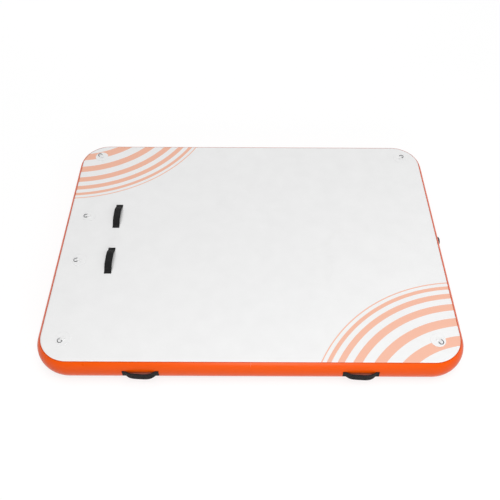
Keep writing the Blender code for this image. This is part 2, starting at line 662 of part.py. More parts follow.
def make_valve_body(valve):
    """Flange saddled on the wall, barrel through it, and a ribbed hub that guides the stem."""
    low = -WALL_RADIUS + math.sqrt(WALL_RADIUS**2 - FLANGE_RADIUS**2)
    body = turned("valve_body", ring_profile(BORE_RADIUS, FLANGE_RADIUS, low, FLANGE_FACE))
    add_part(body, "black_plastic", valve)
    bevel = body.modifiers.new("soft_rim", "BEVEL")
    bevel.width = FLANGE_THICKNESS / 4
    bevel.segments = 1
    bevel.limit_method = "ANGLE"
    combine(body, wall_roll("flange_saddle", WALL_RADIUS + GASKET_TOP, valve), "DIFFERENCE")
    barrel = turned("valve_barrel", ring_profile(BORE_RADIUS, BARREL_RADIUS, SEAT_FACE, FLANGE_FACE / 2))
    combine(body, add_cutter(barrel, valve), "UNION")
    hub_low = HUB_FACE - HUB_THICKNESS
    for i in range(HUB_RIBS // 2):
        middle = (BORE_RADIUS + BARREL_RADIUS) / 2
        rib = box(
            "hub_rib_" + str(i + 1),
            (-middle, -HUB_RIB_WIDTH / 2, hub_low),
            (middle, HUB_RIB_WIDTH / 2, HUB_FACE),
        )
        rib.rotation_euler = (0, 0, math.tau * i / HUB_RIBS)
        combine(body, add_cutter(rib, valve), "UNION")
    hub = cylinder("valve_hub", HUB_RADIUS, hub_low, HUB_FACE, SMALL_ROUND_STEPS)
    combine(body, add_cutter(hub, valve), "UNION")
    reach = CUT_OVERRUN
    hole = STEM_RADIUS + STEM_CLEARANCE
    guide = cylinder("hub_bore", hole, hub_low - reach, HUB_FACE + reach, SMALL_ROUND_STEPS)
    combine(body, add_cutter(guide, valve), "DIFFERENCE")
    peg_low, peg_top = FLANGE_FACE - PEG_RADIUS, FLANGE_FACE + PEG_HEIGHT
    peg = cylinder("tether_peg", PEG_RADIUS, peg_low, peg_top, SMALL_ROUND_STEPS // 2)
    peg.location = peg_place()
    combine(body, add_cutter(peg, valve), "UNION")


def peg_place():
    return ARM_MIDDLE * math.cos(TETHER_SWEEP), ARM_MIDDLE * math.sin(TETHER_SWEEP), 0


def make_valve_clamp(valve):
    """The gasket outside the wall and the nut inside it."""
    clear = BARREL_RADIUS + SEAT_GAP
    low = -WALL_RADIUS + math.sqrt(WALL_RADIUS**2 - FLANGE_RADIUS**2) - GASKET_TOP
    gasket = turned("valve_gasket", ring_profile(clear, FLANGE_RADIUS, low, GASKET_TOP))
    add_part(gasket, "black_rubber", valve)
    combine(gasket, wall_roll("gasket_back", WALL_RADIUS + SEAT_GAP, valve), "DIFFERENCE")
    combine(gasket, wall_roll("gasket_front", WALL_RADIUS + SEAT_GAP + GASKET_THICKNESS, valve), "INTERSECT")
    nut_low = -BAND_THICKNESS - SEAT_GAP - NUT_THICKNESS
    nut = turned("valve_nut", ring_profile(clear, NUT_RADIUS, nut_low, 0))
    add_part(nut, "grey_plastic", valve)
    combine(nut, wall_roll("nut_face", WALL_RADIUS - BAND_THICKNESS - SEAT_GAP, valve), "INTERSECT")


def make_valve_stem(valve):
    """The disc and seal that close the barrel, and the stem with its push button."""
    hole = STEM_RADIUS + STEM_CLEARANCE
    disc_low = DISC_FACE - DISC_THICKNESS
    disc = turned("valve_disc", ring_profile(hole, DISC_RADIUS, disc_low, DISC_FACE))
    add_part(disc, "grey_plastic", valve)
    seal_low = DISC_FACE + SEAT_GAP
    seal = turned("valve_seal", ring_profile(hole, DISC_RADIUS, seal_low, seal_low + SEAL_THICKNESS))
    add_part(seal, "black_rubber", valve)
    head_top = disc_low - SEAT_GAP
    head_low = head_top - STEM_HEAD_THICKNESS
    button_top = BUTTON_LOW + BUTTON_THICKNESS
    profile = [(0, button_top), (BUTTON_RADIUS, button_top), (BUTTON_RADIUS, BUTTON_LOW)]
    profile += [(STEM_RADIUS, BUTTON_LOW), (STEM_RADIUS, head_top), (STEM_HEAD_RADIUS, head_top)]
    profile += [(STEM_HEAD_RADIUS, head_low), (0, head_low)]
    stem = turned("valve_stem", profile, SMALL_ROUND_STEPS)
    add_part(stem, "grey_plastic", valve)
    reach = BUTTON_RADIUS - BUTTON_BAR_WIDTH
    sunk = button_top - BUTTON_THICKNESS / 2
    bar = box(
        "button_bar",
        (-reach, -BUTTON_BAR_WIDTH / 2, sunk),
        (reach, BUTTON_BAR_WIDTH / 2, button_top + BUTTON_BAR_HEIGHT),
    )
    combine(stem, add_cutter(bar, valve), "UNION")


def spring_points():
    """A coil between the hub and the button; each turn has ten points."""
    rise = SPRING_LENGTH - 2 * SPRING_WIRE_RADIUS
    low = HUB_FACE + SEAT_GAP + SPRING_WIRE_RADIUS
    count = 10 * SPRING_TURNS
    points = []
    for i in range(count + 1):
        turn = math.tau * SPRING_TURNS * i / count
        height = low + rise * i / count
        points.append((SPRING_RADIUS * math.cos(turn), SPRING_RADIUS * math.sin(turn), height))
    return points


def make_valve_spring(valve):
    spring = make_wire("valve_spring", spring_points(), SPRING_WIRE_RADIUS, False, 1)
    add_part(spring, "stainless_steel", valve)
    pitch = (SPRING_LENGTH - 2 * SPRING_WIRE_RADIUS) / SPRING_TURNS
    print("spring: gap between turns", round(1000 * (pitch - 2 * SPRING_WIRE_RADIUS), 2), "mm")


def make_cap(valve):
    """A low screw cap with finger scallops, its seal, and the tether that keeps it."""
    profile = [(0, CAP_TOP), (CAP_RADIUS - CAP_EDGE, CAP_TOP), (CAP_RADIUS, CAP_TOP - CAP_EDGE)]
    profile += [(CAP_RADIUS, CAP_LOW), (CAP_BOSS_RADIUS, CAP_LOW)]
    profile += [(CAP_BOSS_RADIUS, CAP_LOW - CAP_BOSS_DEPTH), (0, CAP_LOW - CAP_BOSS_DEPTH)]
    cap = add_part(turned("valve_cap", profile), "black_plastic", valve)
    for i in range(CAP_SCALLOPS):
        turn = math.tau * (i + 0.5) / CAP_SCALLOPS
        reach = CAP_RADIUS + CAP_SCALLOP_RADIUS - CAP_SCALLOP_BITE
        scallop = cylinder(
            "cap_scallop_" + str(i + 1),
            CAP_SCALLOP_RADIUS,
            CAP_LOW - CUT_OVERRUN,
            CAP_TOP + CUT_OVERRUN,
            SMALL_ROUND_STEPS,
        )
        scallop.location = (reach * math.cos(turn), reach * math.sin(turn), 0)
        combine(cap, add_cutter(scallop, valve), "DIFFERENCE")
    seal = ring_profile(CAP_SEAL_INNER, CAP_SEAL_INNER + CAP_SEAL_WIDTH, TETHER_LOW, CAP_LOW - SEAT_GAP)
    add_part(turned("cap_seal", seal), "black_rubber", valve)
    make_tether(valve)


def make_tether(valve):
    """A collar round the cap's boss, an arm curled round the cap and an eye on the flange's peg."""
    high = TETHER_LOW + TETHER_THICKNESS
    tether = turned("cap_tether", ring_profile(TETHER_INNER, TETHER_OUTER, TETHER_LOW, high))
    add_part(tether, "black_rubber", valve)
    rows = []
    eye_turn = (EYE_RADIUS - EYE_WIDTH / 2) / ARM_MIDDLE  # the arm ends in the middle of the eye's rim
    for turn in between(0, TETHER_SWEEP - eye_turn, SMALL_ROUND_STEPS):
        across = [(ARM_INNER, TETHER_LOW), (ARM_INNER, high)]
        across += [(ARM_INNER + TETHER_WIDTH, high), (ARM_INNER + TETHER_WIDTH, TETHER_LOW)]
        rows.append([(reach * math.cos(turn), reach * math.sin(turn), height) for reach, height in across])
    arm = loft("tether_arm", rows)
    bridge = box(
        "tether_bridge",
        (TETHER_OUTER - TETHER_WIDTH / 2, -TETHER_WIDTH / 2, TETHER_LOW),
        (ARM_MIDDLE, TETHER_WIDTH / 2, high),
    )
    eye = cylinder("tether_eye", EYE_RADIUS, TETHER_LOW, high, SMALL_ROUND_STEPS)
    hole = cylinder(
        "tether_eye_hole",
        PEG_RADIUS + PEG_CLEARANCE,
        TETHER_LOW - CUT_OVERRUN,
        high + CUT_OVERRUN,
        SMALL_ROUND_STEPS,
    )
    eye.location = peg_place()
    hole.location = peg_place()
    for piece in (arm, bridge, eye):
        combine(tether, add_cutter(piece, valve), "UNION")
    combine(tether, add_cutter(hole, valve), "DIFFERENCE")


def make_valve(pierced):
    place = (DOCK_LENGTH / 2, VALVE_Y, DOCK_THICKNESS / 2)
    valve = empty_at("valve_axis", place, (0, math.pi / 2, 0))
    reach = CUT_OVERRUN + WALL_BULGE
    hole = cylinder("valve_hole", BARREL_RADIUS + SEAT_GAP, -reach, reach, ROUND_STEPS)
    combine(pierced, add_cutter(hole, valve), "DIFFERENCE")
    make_valve_body(valve)
    make_valve_clamp(valve)
    make_valve_stem(valve)
    make_valve_spring(valve)
    make_cap(valve)


make_valve(make_hull())
make_handles()
make_rings()
bpy.context.view_layer.update()
print("inflatable dock platform:", len([part for part in PARTS.objects if part.type == "MESH"]), "pieces")
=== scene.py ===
import json
from math import asin, atan, atan2, ceil, copysign, cos, hypot, pi, radians, sin, sqrt, tau

import bmesh
import bpy
from mathutils import Matrix, Vector, noise

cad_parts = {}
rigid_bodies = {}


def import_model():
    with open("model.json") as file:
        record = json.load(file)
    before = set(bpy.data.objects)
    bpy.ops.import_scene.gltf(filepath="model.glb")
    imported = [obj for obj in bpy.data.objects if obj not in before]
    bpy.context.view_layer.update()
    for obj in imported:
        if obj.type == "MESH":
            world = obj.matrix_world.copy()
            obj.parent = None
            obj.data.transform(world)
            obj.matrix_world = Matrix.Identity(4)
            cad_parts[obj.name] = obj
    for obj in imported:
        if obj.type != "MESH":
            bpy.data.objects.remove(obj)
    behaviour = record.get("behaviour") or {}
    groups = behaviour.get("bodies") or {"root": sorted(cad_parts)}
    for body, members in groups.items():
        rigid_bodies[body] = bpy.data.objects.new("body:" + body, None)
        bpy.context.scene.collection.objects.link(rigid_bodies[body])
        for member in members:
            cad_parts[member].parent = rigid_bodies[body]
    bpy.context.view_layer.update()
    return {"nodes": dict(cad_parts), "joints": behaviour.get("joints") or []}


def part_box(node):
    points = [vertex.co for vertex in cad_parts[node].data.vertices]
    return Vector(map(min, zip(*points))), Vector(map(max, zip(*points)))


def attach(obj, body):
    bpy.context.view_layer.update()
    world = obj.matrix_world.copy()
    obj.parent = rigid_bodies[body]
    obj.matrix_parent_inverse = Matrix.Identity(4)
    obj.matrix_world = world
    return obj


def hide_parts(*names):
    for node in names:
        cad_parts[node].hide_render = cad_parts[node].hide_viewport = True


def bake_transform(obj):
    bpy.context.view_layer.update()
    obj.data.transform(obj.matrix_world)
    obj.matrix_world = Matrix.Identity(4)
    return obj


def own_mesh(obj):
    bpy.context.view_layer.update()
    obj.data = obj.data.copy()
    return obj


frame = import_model()
joints = {joint["name"]: joint for joint in frame["joints"]}


# Node helpers: a value is either linked from a socket or set on the input

def feed(tree, node, feeds):
    for name, value in feeds.items():
        if isinstance(value, bpy.types.NodeSocket):
            tree.links.new(value, node.inputs[name])
        else:
            node.inputs[name].default_value = value
    return node


def addNode(tree, kind, feeds={}, **settings):
    made = tree.nodes.new(kind)
    for name, value in settings.items():
        setattr(made, name, value)
    return feed(tree, made, feeds)


def mathNode(tree, operation, *values):
    return addNode(tree, "ShaderNodeMath", dict(enumerate(values)), operation=operation).outputs[0]


def product(tree, first, second):
    return mathNode(tree, "MULTIPLY", first, second)


def scaledSum(tree, value, share, more):
    return mathNode(tree, "MULTIPLY_ADD", value, share, more)


def mapped(tree, value, low, high, newHigh=1.0):
    feeds = {"Value": value, "From Min": low, "From Max": high, "To Max": newHigh}
    return addNode(tree, "ShaderNodeMapRange", feeds).outputs["Result"]


def cloudNode(tree, vector, scale, detail, **more):
    feeds = {"Vector": vector, "Scale": scale, "Detail": detail, **more}
    return addNode(tree, "ShaderNodeTexNoise", feeds).outputs["Fac"]


def mixedColour(tree, share, first, second):
    # a Mix node's colours are its sockets 6 and 7 on the way in and 2 on the way out
    return addNode(tree, "ShaderNodeMix", {0: share, 6: first, 7: second}, data_type="RGBA").outputs[2]


def newGroup(name, kind, inputs, outputs):
    # a number stands for a float socket with that default, a word for the kind of socket
    group = bpy.data.node_groups.new(name, kind)
    for label, value in inputs.items():
        word = "Float" if isinstance(value, float) else value
        socket = group.interface.new_socket(label, in_out="INPUT", socket_type="NodeSocket" + word)
        if isinstance(value, float):
            socket.default_value = value
    for label, word in outputs.items():
        group.interface.new_socket(label, in_out="OUTPUT", socket_type="NodeSocket" + word)
    return group, group.nodes.new("NodeGroupInput").outputs, group.nodes.new("NodeGroupOutput")


# Shader groups shared by several finishes

reliefSockets = {"Height": "Float", "Tone": "Float"}
grainForm = {"cellScale": 0.6, "cellShare": 0.6, "toneScale": 0.012}  # scales are shares of the grain's own
smudgeForm = {"roughness": 0.62, "distortion": 0.6, "edge": 0.78, "coverageShare": 0.4, "softness": 0.14}
weaveForm = {
    "slantLength": 5.0,  # in threads, before the slant turns back
    "pickShare": 0.6,
    "ribShare": 0.4,
    "fuzzScale": 1400.0,
    "fuzzTone": 0.5,
    "reliefTone": 0.25,
}


def makeGrainGroup():
    inputs = {"Vector": "Vector", "Grain size": 0.001}
    group, given, result = newGroup("coatingGrain", "ShaderNodeTree", inputs, reliefSockets)
    vector = given["Vector"]
    scale = mathNode(group, "DIVIDE", 1.0, given["Grain size"])
    feeds = {"Vector": vector, "Scale": product(group, scale, grainForm["cellScale"])}
    cells = addNode(group, "ShaderNodeTexVoronoi", feeds, feature="SMOOTH_F1")
    cloud = cloudNode(group, vector, scale, 2.0)
    height = scaledSum(group, cells.outputs["Distance"], grainForm["cellShare"], cloud)
    tone = cloudNode(group, vector, product(group, scale, grainForm["toneScale"]), 3.0)
    feed(group, result, {"Height": height, "Tone": tone})
    return group


def makeSmudgeGroup():
    inputs = {"Vector": "Vector", "Mark size": 0.2, "Coverage": 0.4}
    group, given, result = newGroup("handlingMarks", "ShaderNodeTree", inputs, {"Mask": "Float"})
    form = smudgeForm
    scale = mathNode(group, "DIVIDE", 1.0, given["Mark size"])
    cloud = cloudNode(
        group, given["Vector"], scale, 6.0, Roughness=form["roughness"], Distortion=form["distortion"]
    )
    covered = product(group, given["Coverage"], form["coverageShare"])
    edge = mathNode(group, "SUBTRACT", form["edge"], covered)
    feed(group, result, {"Mask": mapped(group, cloud, edge, mathNode(group, "ADD", edge, form["softness"]))})
    return group


def makeWeaveGroup():
    # herringbone webbing: warp ribs along U, and picks that slant one way and then the other across V
    inputs = {"Vector": "Vector", "Thread": 0.001}
    group, given, result = newGroup("webbingWeave", "ShaderNodeTree", inputs, reliefSockets)
    form, vector = weaveForm, given["Vector"]
    split = addNode(group, "ShaderNodeSeparateXYZ", {0: vector})
    along = mathNode(group, "DIVIDE", split.outputs["X"], given["Thread"])
    across = mathNode(group, "DIVIDE", split.outputs["Y"], given["Thread"])
    slanted = mathNode(group, "ADD", along, mathNode(group, "PINGPONG", across, form["slantLength"]))
    picks = mathNode(group, "SINE", product(group, slanted, pi))
    ribs = mathNode(group, "SINE", product(group, across, tau))
    ribHeight = product(group, ribs, form["ribShare"])
    height = scaledSum(group, picks, form["pickShare"], ribHeight)
    # painted shade: the tone follows the weave's height, darker in the grooves and lighter on the raised
    # threads; the fuzz adds random fibre tone
    reliefShade = product(group, height, form["reliefTone"])
    fuzz = cloudNode(group, vector, form["fuzzScale"], 2.0)
    tone = scaledSum(group, fuzz, form["fuzzTone"], reliefShade)
    feed(group, result, {"Height": height, "Tone": tone})
    return group


groups = {"grain": makeGrainGroup(), "smudge": makeSmudgeGroup(), "weave": makeWeaveGroup()}
print("shader groups built:", ", ".join(sorted(groups)))


def newMaterial(name):
    made = bpy.data.materials.new(name)
    made.use_nodes = True
    return made, made.node_tree, made.node_tree.nodes["Principled BSDF"]


def useGroup(tree, name, feeds):
    return addNode(tree, "ShaderNodeGroup", feeds, node_tree=groups[name]).outputs


def markMask(tree, vector, size, coverage):
    feeds = {"Vector": vector, "Mark size": size, "Coverage": coverage}
    return useGroup(tree, "smudge", feeds)["Mask"]


def bumped(tree, height, distance):
    feeds = {"Height": height, "Distance": distance, "Strength": 1.0}
    return addNode(tree, "ShaderNodeBump", feeds).outputs["Normal"]


def objectCoords(tree):
    return addNode(tree, "ShaderNodeTexCoord").outputs["Object"]


def tinted(colour, tint):
    return (*(part * share for part, share in zip(colour, tint)), 1.0)


def shaded(colour, share):
    return tinted(colour, (share, share, share))


def toned(tree, tone, colour, shades):
    return mixedColour(tree, tone, shaded(colour, shades[0]), shaded(colour, shades[1]))


# Coated fabric: the deck, base, side band, patches and tabs

coating = {
    "white": (0.80, 0.80, 0.80),
    "print": (0.82, 0.45, 0.33),
    "orange": (0.89, 0.098, 0.0015),
    "rough": {"matt": 0.40, "gloss": 0.24},  # matt are the white skins, gloss is the smoother side band
    "shine": {"matt": 0.35, "gloss": 0.20},
    "toneShades": (0.97, 1.03),
    "toneRough": 0.12,
    "grainSize": 0.0011,
    "grainDepth": 0.00006,
    "threadPitch": 0.0125,  # of the dimples that the drop threads pull in the skin
    "threadDepth": 0.00004,
    "swellSize": 0.22,
    "swellDepth": 0.0006,
    "seamHeights": (0.1475, 0.1493),  # painted shade: the band is darkened towards its top edge, where it laps the deck, in place of the shadow at that lap
    "seamGrime": 0.42,
    "grimeShade": 0.2,
    "markSize": 0.31,
    "markCoverage": 0.35,
    "markShare": 0.07,
    "markTint": (0.62, 0.60, 0.56),
    "markRough": 0.10,
}


def dimples(tree, vector, pitch):
    split = addNode(tree, "ShaderNodeSeparateXYZ", {0: vector})
    waves = []
    for axis in ("X", "Y"):
        turns = product(tree, split.outputs[axis], tau / pitch)
        waves.append(mathNode(tree, "COSINE", turns))
    return product(tree, waves[0], waves[1])


def coatedSkin(name, colour, dimpled, finish="matt", printed=None):
    material, tree, shader = newMaterial(name)
    vector = objectCoords(tree)
    grain = useGroup(tree, "grain", {"Vector": vector, "Grain size": coating["grainSize"]})
    marks = markMask(tree, vector, coating["markSize"], coating["markCoverage"])
    base = toned(tree, grain["Tone"], colour, coating["toneShades"])
    if printed:
        base = mixedColour(tree, printed(tree, vector), base, shaded(coating["print"], 1.0))
    # painted shade: the band's colour darkens over its top few millimetres, standing in for the lap's shadow
    if finish == "gloss":
        height = addNode(tree, "ShaderNodeSeparateXYZ", {0: vector}).outputs["Z"]
        paintedSeamShade = mapped(tree, height, *coating["seamHeights"], coating["seamGrime"])
        base = mixedColour(tree, paintedSeamShade, base, shaded(colour, coating["grimeShade"]))
    marked = product(tree, marks, coating["markShare"])
    base = mixedColour(tree, marked, base, tinted(colour, coating["markTint"]))
    rough = scaledSum(tree, grain["Tone"], coating["toneRough"], coating["rough"][finish])
    rough = scaledSum(tree, marks, coating["markRough"], rough)
    swell = cloudNode(tree, vector, 1 / coating["swellSize"], 1.0)
    height = product(tree, grain["Height"], coating["grainDepth"])
    height = scaledSum(tree, swell, coating["swellDepth"], height)
    if dimpled:
        waves = dimples(tree, vector, coating["threadPitch"])
        height = scaledSum(tree, waves, coating["threadDepth"], height)
    feeds = {"Base Color": base, "Roughness": rough, "Normal": bumped(tree, height, 1.0)}
    feed(tree, shader, {"Specular IOR Level": coating["shine"][finish], **feeds})
    return material


# Printed stripes: rings about a point outside each of two opposite corners

stripes = {
    "centres": [(1.2567, -1.2925, 0.0), (-1.2506, 1.3190, 0.0)],
    "rings": [
        (0.522, 0.585), (0.650, 0.7045), (0.758, 0.802), (0.8425, 0.878), (0.9085, 0.932), (0.9535, 0.9605)
    ],
    "nearest": 0.45,
    "farthest": 1.05,
}


def stripeMask(tree, vector):
    flat = addNode(tree, "ShaderNodeVectorMath", {0: vector, 1: (1.0, 1.0, 0.0)}, operation="MULTIPLY")
    nearest, farthest = stripes["nearest"], stripes["farthest"]
    masks = []
    for centre in stripes["centres"]:
        feeds = {0: flat.outputs["Vector"], 1: centre}
        away = addNode(tree, "ShaderNodeVectorMath", feeds, operation="DISTANCE").outputs["Value"]
        ramp = addNode(tree, "ShaderNodeValToRGB", {"Fac": mapped(tree, away, nearest, farthest)})
        ramp.color_ramp.interpolation = "CONSTANT"
        stops = ramp.color_ramp.elements
        stops[0].color = (0, 0, 0, 1)
        stops.remove(stops[1])
        for inner, outer in stripes["rings"]:
            for radius, shade in ((inner, 1), (outer, 0)):
                stop = stops.new((radius - nearest) / (farthest - nearest))
                stop.color = (shade, shade, shade, 1)
        masks.append(ramp.outputs["Color"])
    return mathNode(tree, "MAXIMUM", masks[0], masks[1])


# Webbing, in the cloth's own metres, and moulded or spun pieces

webbingLook = {
    "colour": (0.0125, 0.0125, 0.0130),
    # this wide range carries the weave's painted shade: dark in the grooves, light on the raised threads
    "toneShades": (0.35, 2.1),
    "thread": 0.0013,
    "depth": 0.00040,
    "rough": 0.88,
    "toneRough": -0.15,
    "shine": 0.25,
    "sheen": 0.06,
    "sheenRough": 0.5,
    "dustSize": 0.03,
    "dustCoverage": 0.5,
    "dustShare": 0.04,
    "dustColour": (0.30, 0.29, 0.27, 1.0),
}
mouldedLook = {"toneShades": (0.85, 1.15), "markSize": 0.018, "markCoverage": 0.5, "markRough": 0.12}


def webbing(name):
    look = webbingLook
    material, tree, shader = newMaterial(name)
    cloth = addNode(tree, "ShaderNodeUVMap", uv_map="clothMetres").outputs["UV"]
    weave = useGroup(tree, "weave", {"Vector": cloth, "Thread": look["thread"]})
    dust = markMask(tree, objectCoords(tree), look["dustSize"], look["dustCoverage"])
    base = toned(tree, weave["Tone"], look["colour"], look["toneShades"])
    dusty = product(tree, dust, look["dustShare"])
    feeds = {
        "Base Color": mixedColour(tree, dusty, base, look["dustColour"]),
        "Roughness": scaledSum(tree, weave["Tone"], look["toneRough"], look["rough"]),
        "Specular IOR Level": look["shine"],
        "Sheen Weight": look["sheen"],
        "Sheen Roughness": look["sheenRough"],
        "Normal": bumped(tree, weave["Height"], look["depth"]),
    }
    feed(tree, shader, feeds)
    return material


def moulded(name, colour, rough, grainSize, depth, metallic=0.0):
    look = mouldedLook
    material, tree, shader = newMaterial(name)
    vector = objectCoords(tree)
    grain = useGroup(tree, "grain", {"Vector": vector, "Grain size": grainSize})
    marks = markMask(tree, vector, look["markSize"], look["markCoverage"])
    feeds = {
        "Base Color": toned(tree, grain["Tone"], colour, look["toneShades"]),
        "Metallic": metallic,
        "Roughness": scaledSum(tree, marks, look["markRough"], rough),
        "Normal": bumped(tree, grain["Height"], depth),
    }
    feed(tree, shader, feeds)
    return material


finishes = {
    "deck": coatedSkin("deckCoating", coating["white"], True, printed=stripeMask),
    "base": coatedSkin("baseCoating", coating["white"], True),
    "patch": coatedSkin("patchCoating", coating["white"], False),
    "band": coatedSkin("bandCoating", coating["orange"], False, "gloss"),
    "strap": webbing("strapWebbing"),
    "thread": moulded("blackThread", (0.018, 0.018, 0.019), 0.70, 0.0004, 0.00006),
    "whiteThread": moulded("whiteThread", (0.62, 0.62, 0.61), 0.70, 0.0004, 0.00006),
    "steel": moulded("polishedSteel", (0.20, 0.205, 0.215), 0.22, 0.0009, 0.000006, metallic=1.0),
    "plastic": moulded("blackPlastic", (0.013, 0.013, 0.014), 0.38, 0.0006, 0.00002),
    "greyPlastic": moulded("greyPlastic", (0.30, 0.31, 0.33), 0.42, 0.0006, 0.00002),
    "rubber": moulded("blackRubber", (0.020, 0.020, 0.021), 0.68, 0.0005, 0.00002),
    "yarn": moulded("coreYarn", (0.72, 0.72, 0.69), 0.90, 0.0008, 0.0001),
}
print("finishes built:", len(finishes))


# Points and outlines

def spaced(low, high, steps):
    return [low + (high - low) * i / steps for i in range(steps + 1)]


def eased(value):
    value = min(1.0, max(0.0, value))
    return value * value * (3 - 2 * value)


def polar(reach, turn, height=0.0):
    return reach * cos(turn), reach * sin(turn), height


def arc(x, y, radius, start, end, steps):
    return [(x + radius * cos(turn), y + radius * sin(turn)) for turn in spaced(start, end, steps)]


def rounded(profile, radius, steps=4, most=0.45):
    # the closed outline with its corners on small arcs; most is the share of a side that one may take up, and
    # a corner on the axis stays
    result = []
    for i, point in enumerate(profile):
        before, here, after = Vector(profile[i - 1]), Vector(point), Vector(profile[(i + 1) % len(profile)])
        if here.x == 0:
            result.append(tuple(here))
            continue
        back, ahead = before - here, after - here
        bend = min(radius, back.length * most, ahead.length * most)
        start, end = here + back.normalized() * bend, here + ahead.normalized() * bend
        for share in spaced(0, 1, steps):
            pulled = start * (1 - share) ** 2 + here * 2 * share * (1 - share) + end * share ** 2
            result.append(tuple(pulled))
    return result


def roundedBlock(inner, outer, low, high, radius=0.0004, steps=4):
    return rounded([(inner, high), (outer, high), (outer, low), (inner, low)], radius, steps)


def crossedBox(firstX, lastX, firstY, lastY):
    # the lines of a sewn box with its cross, and whether each is closed
    box = [(firstX, firstY), (lastX, firstY), (lastX, lastY), (firstX, lastY)]
    return [(box, True), ([box[0], box[2]], False), ([box[1], box[3]], False)]


def standingFrame(x, z, place):
    matrix = Matrix((x, z.cross(x), z)).transposed().to_4x4()
    matrix.translation = place
    return matrix


# Meshes and objects

meshing = {"weld": 0.000001, "sliver": 0.0000001, "sharpDegrees": 35, "wireSharpDegrees": 60}


def addObject(name, data):
    made = bpy.data.objects.new(name, data)
    bpy.context.scene.collection.objects.link(made)
    return made


def evaluatedMesh(piece):
    graph = bpy.context.evaluated_depsgraph_get()
    return bpy.data.meshes.new_from_object(piece.evaluated_get(graph))


def keep(name, mesh, material, sharpDegrees):
    mesh.materials.clear()
    mesh.materials.append(material)
    mesh.shade_smooth()
    mesh.set_sharp_from_angle(angle=radians(sharpDegrees))
    return addObject(name, mesh)


def finished(name, shape, material, matrix=Matrix(), sharpDegrees=meshing["sharpDegrees"]):
    bmesh.ops.transform(shape, matrix=matrix, verts=shape.verts)
    bmesh.ops.recalc_face_normals(shape, faces=shape.faces)
    mesh = bpy.data.meshes.new(name)
    shape.to_mesh(mesh)
    shape.free()
    return keep(name, mesh, material, sharpDegrees)


def addRings(shape, rows, alongs=None, acrosses=None):
    # closed rings joined one to the next and shut at both ends; alongs and acrosses are cloth metres
    cloth = shape.loops.layers.uv.new("clothMetres") if alongs else None
    rings = [[shape.verts.new(point) for point in row] for row in rows]
    count = len(rows[0])
    for r in range(len(rings) - 1):
        for i in range(count):
            j = (i + 1) % count
            face = shape.faces.new((rings[r][i], rings[r][j], rings[r + 1][j], rings[r + 1][i]))
            if alongs:
                corners = ((r, i), (r, i + 1), (r + 1, i + 1), (r + 1, i))
                for loop, (row, column) in zip(face.loops, corners):
                    loop[cloth].uv = (alongs[row], acrosses[column])
    shape.faces.new(rings[0])
    shape.faces.new(rings[-1])


def ringSolid(name, rows, material, matrix, sharpDegrees, alongs=None, acrosses=None):
    shape = bmesh.new()
    addRings(shape, rows, alongs, acrosses)
    return finished(name, shape, material, matrix, sharpDegrees)


def addLathe(shape, profile, steps, radiusAt=None, heightAt=None, place=Matrix()):
    # a closed outline of (radius, height) turned round Z; radiusAt and heightAt may bend it by the angle
    rings = []
    for i in range(steps):
        turn = tau * i / steps
        ring = []
        for radius, height in profile:
            r = radiusAt(radius, turn) if radiusAt else radius
            h = heightAt(r, height, turn) if heightAt else height
            ring.append(shape.verts.new(place @ Vector(polar(r, turn, h))))
        rings.append(ring)
    for i in range(steps):
        near, far = rings[i], rings[(i + 1) % steps]
        for j in range(len(profile)):
            k = (j + 1) % len(profile)
            if profile[j][0] == 0 and profile[k][0] == 0:
                continue
            shape.faces.new((near[j], near[k], far[k], far[j]))
    bmesh.ops.remove_doubles(shape, verts=shape.verts, dist=meshing["weld"])
    bmesh.ops.dissolve_degenerate(shape, edges=shape.edges, dist=meshing["sliver"])


def lathePiece(name, profile, steps, material, matrix, radiusAt=None, sharpDegrees=meshing["sharpDegrees"]):
    shape = bmesh.new()
    addLathe(shape, profile, steps, radiusAt)
    return finished(name, shape, material, matrix, sharpDegrees)


def addBlock(shape, size, place):
    corners = bmesh.ops.create_cube(shape, size=1)["verts"]
    bmesh.ops.transform(shape, matrix=place @ Matrix.Diagonal((*size, 1)), verts=corners)


def edgeObject(name, lines, matrix=Matrix()):
    # polylines as loose edges: what the Geometry Nodes trees turn into curves
    points, edges = [], []
    for line, closed in lines:
        first = len(points)
        points += [matrix @ Vector(point) for point in line]
        edges += [(first + i, first + i + 1) for i in range(len(line) - 1)]
        if closed:
            edges.append((len(points) - 1, first))
    mesh = bpy.data.meshes.new(name)
    mesh.from_pydata(points, edges, [])
    return addObject(name, mesh)


def grownMesh(guide, tree, values, name, material, sharpDegrees=meshing["sharpDegrees"]):
    # runs a Geometry Nodes tree on the guide and keeps the result as a plain mesh
    modifier = guide.modifiers.new("grow", "NODES")
    modifier.node_group = tree
    sockets = {item.name: item.identifier for item in tree.interface.items_tree if item.in_out == "INPUT"}
    for label, value in {**values, "Material": material}.items():
        modifier[sockets[label]] = value
    mesh = evaluatedMesh(guide)
    bpy.data.objects.remove(guide, do_unlink=True)
    return keep(name, mesh, material, sharpDegrees)


def wireMesh(name, points, radius, closed, sides, matrix, material):
    curve = bpy.data.curves.new(name, "CURVE")
    curve.dimensions = "3D"
    curve.bevel_depth = radius
    curve.bevel_resolution = sides
    curve.use_fill_caps = not closed
    run = curve.splines.new("POLY")
    run.points.add(len(points) - 1)
    for spot, point in zip(run.points, points):
        spot.co = (*point, 1)
    run.use_cyclic_u = closed
    guide = addObject(name, curve)
    shape = bmesh.new()
    shape.from_mesh(evaluatedMesh(guide))
    bpy.data.objects.remove(guide, do_unlink=True)
    bmesh.ops.remove_doubles(shape, verts=shape.verts, dist=meshing["weld"])
    return finished(name, shape, material, matrix, meshing["wireSharpDegrees"])


# Geometry Nodes trees: both start from edges and end in a realised, coated mesh

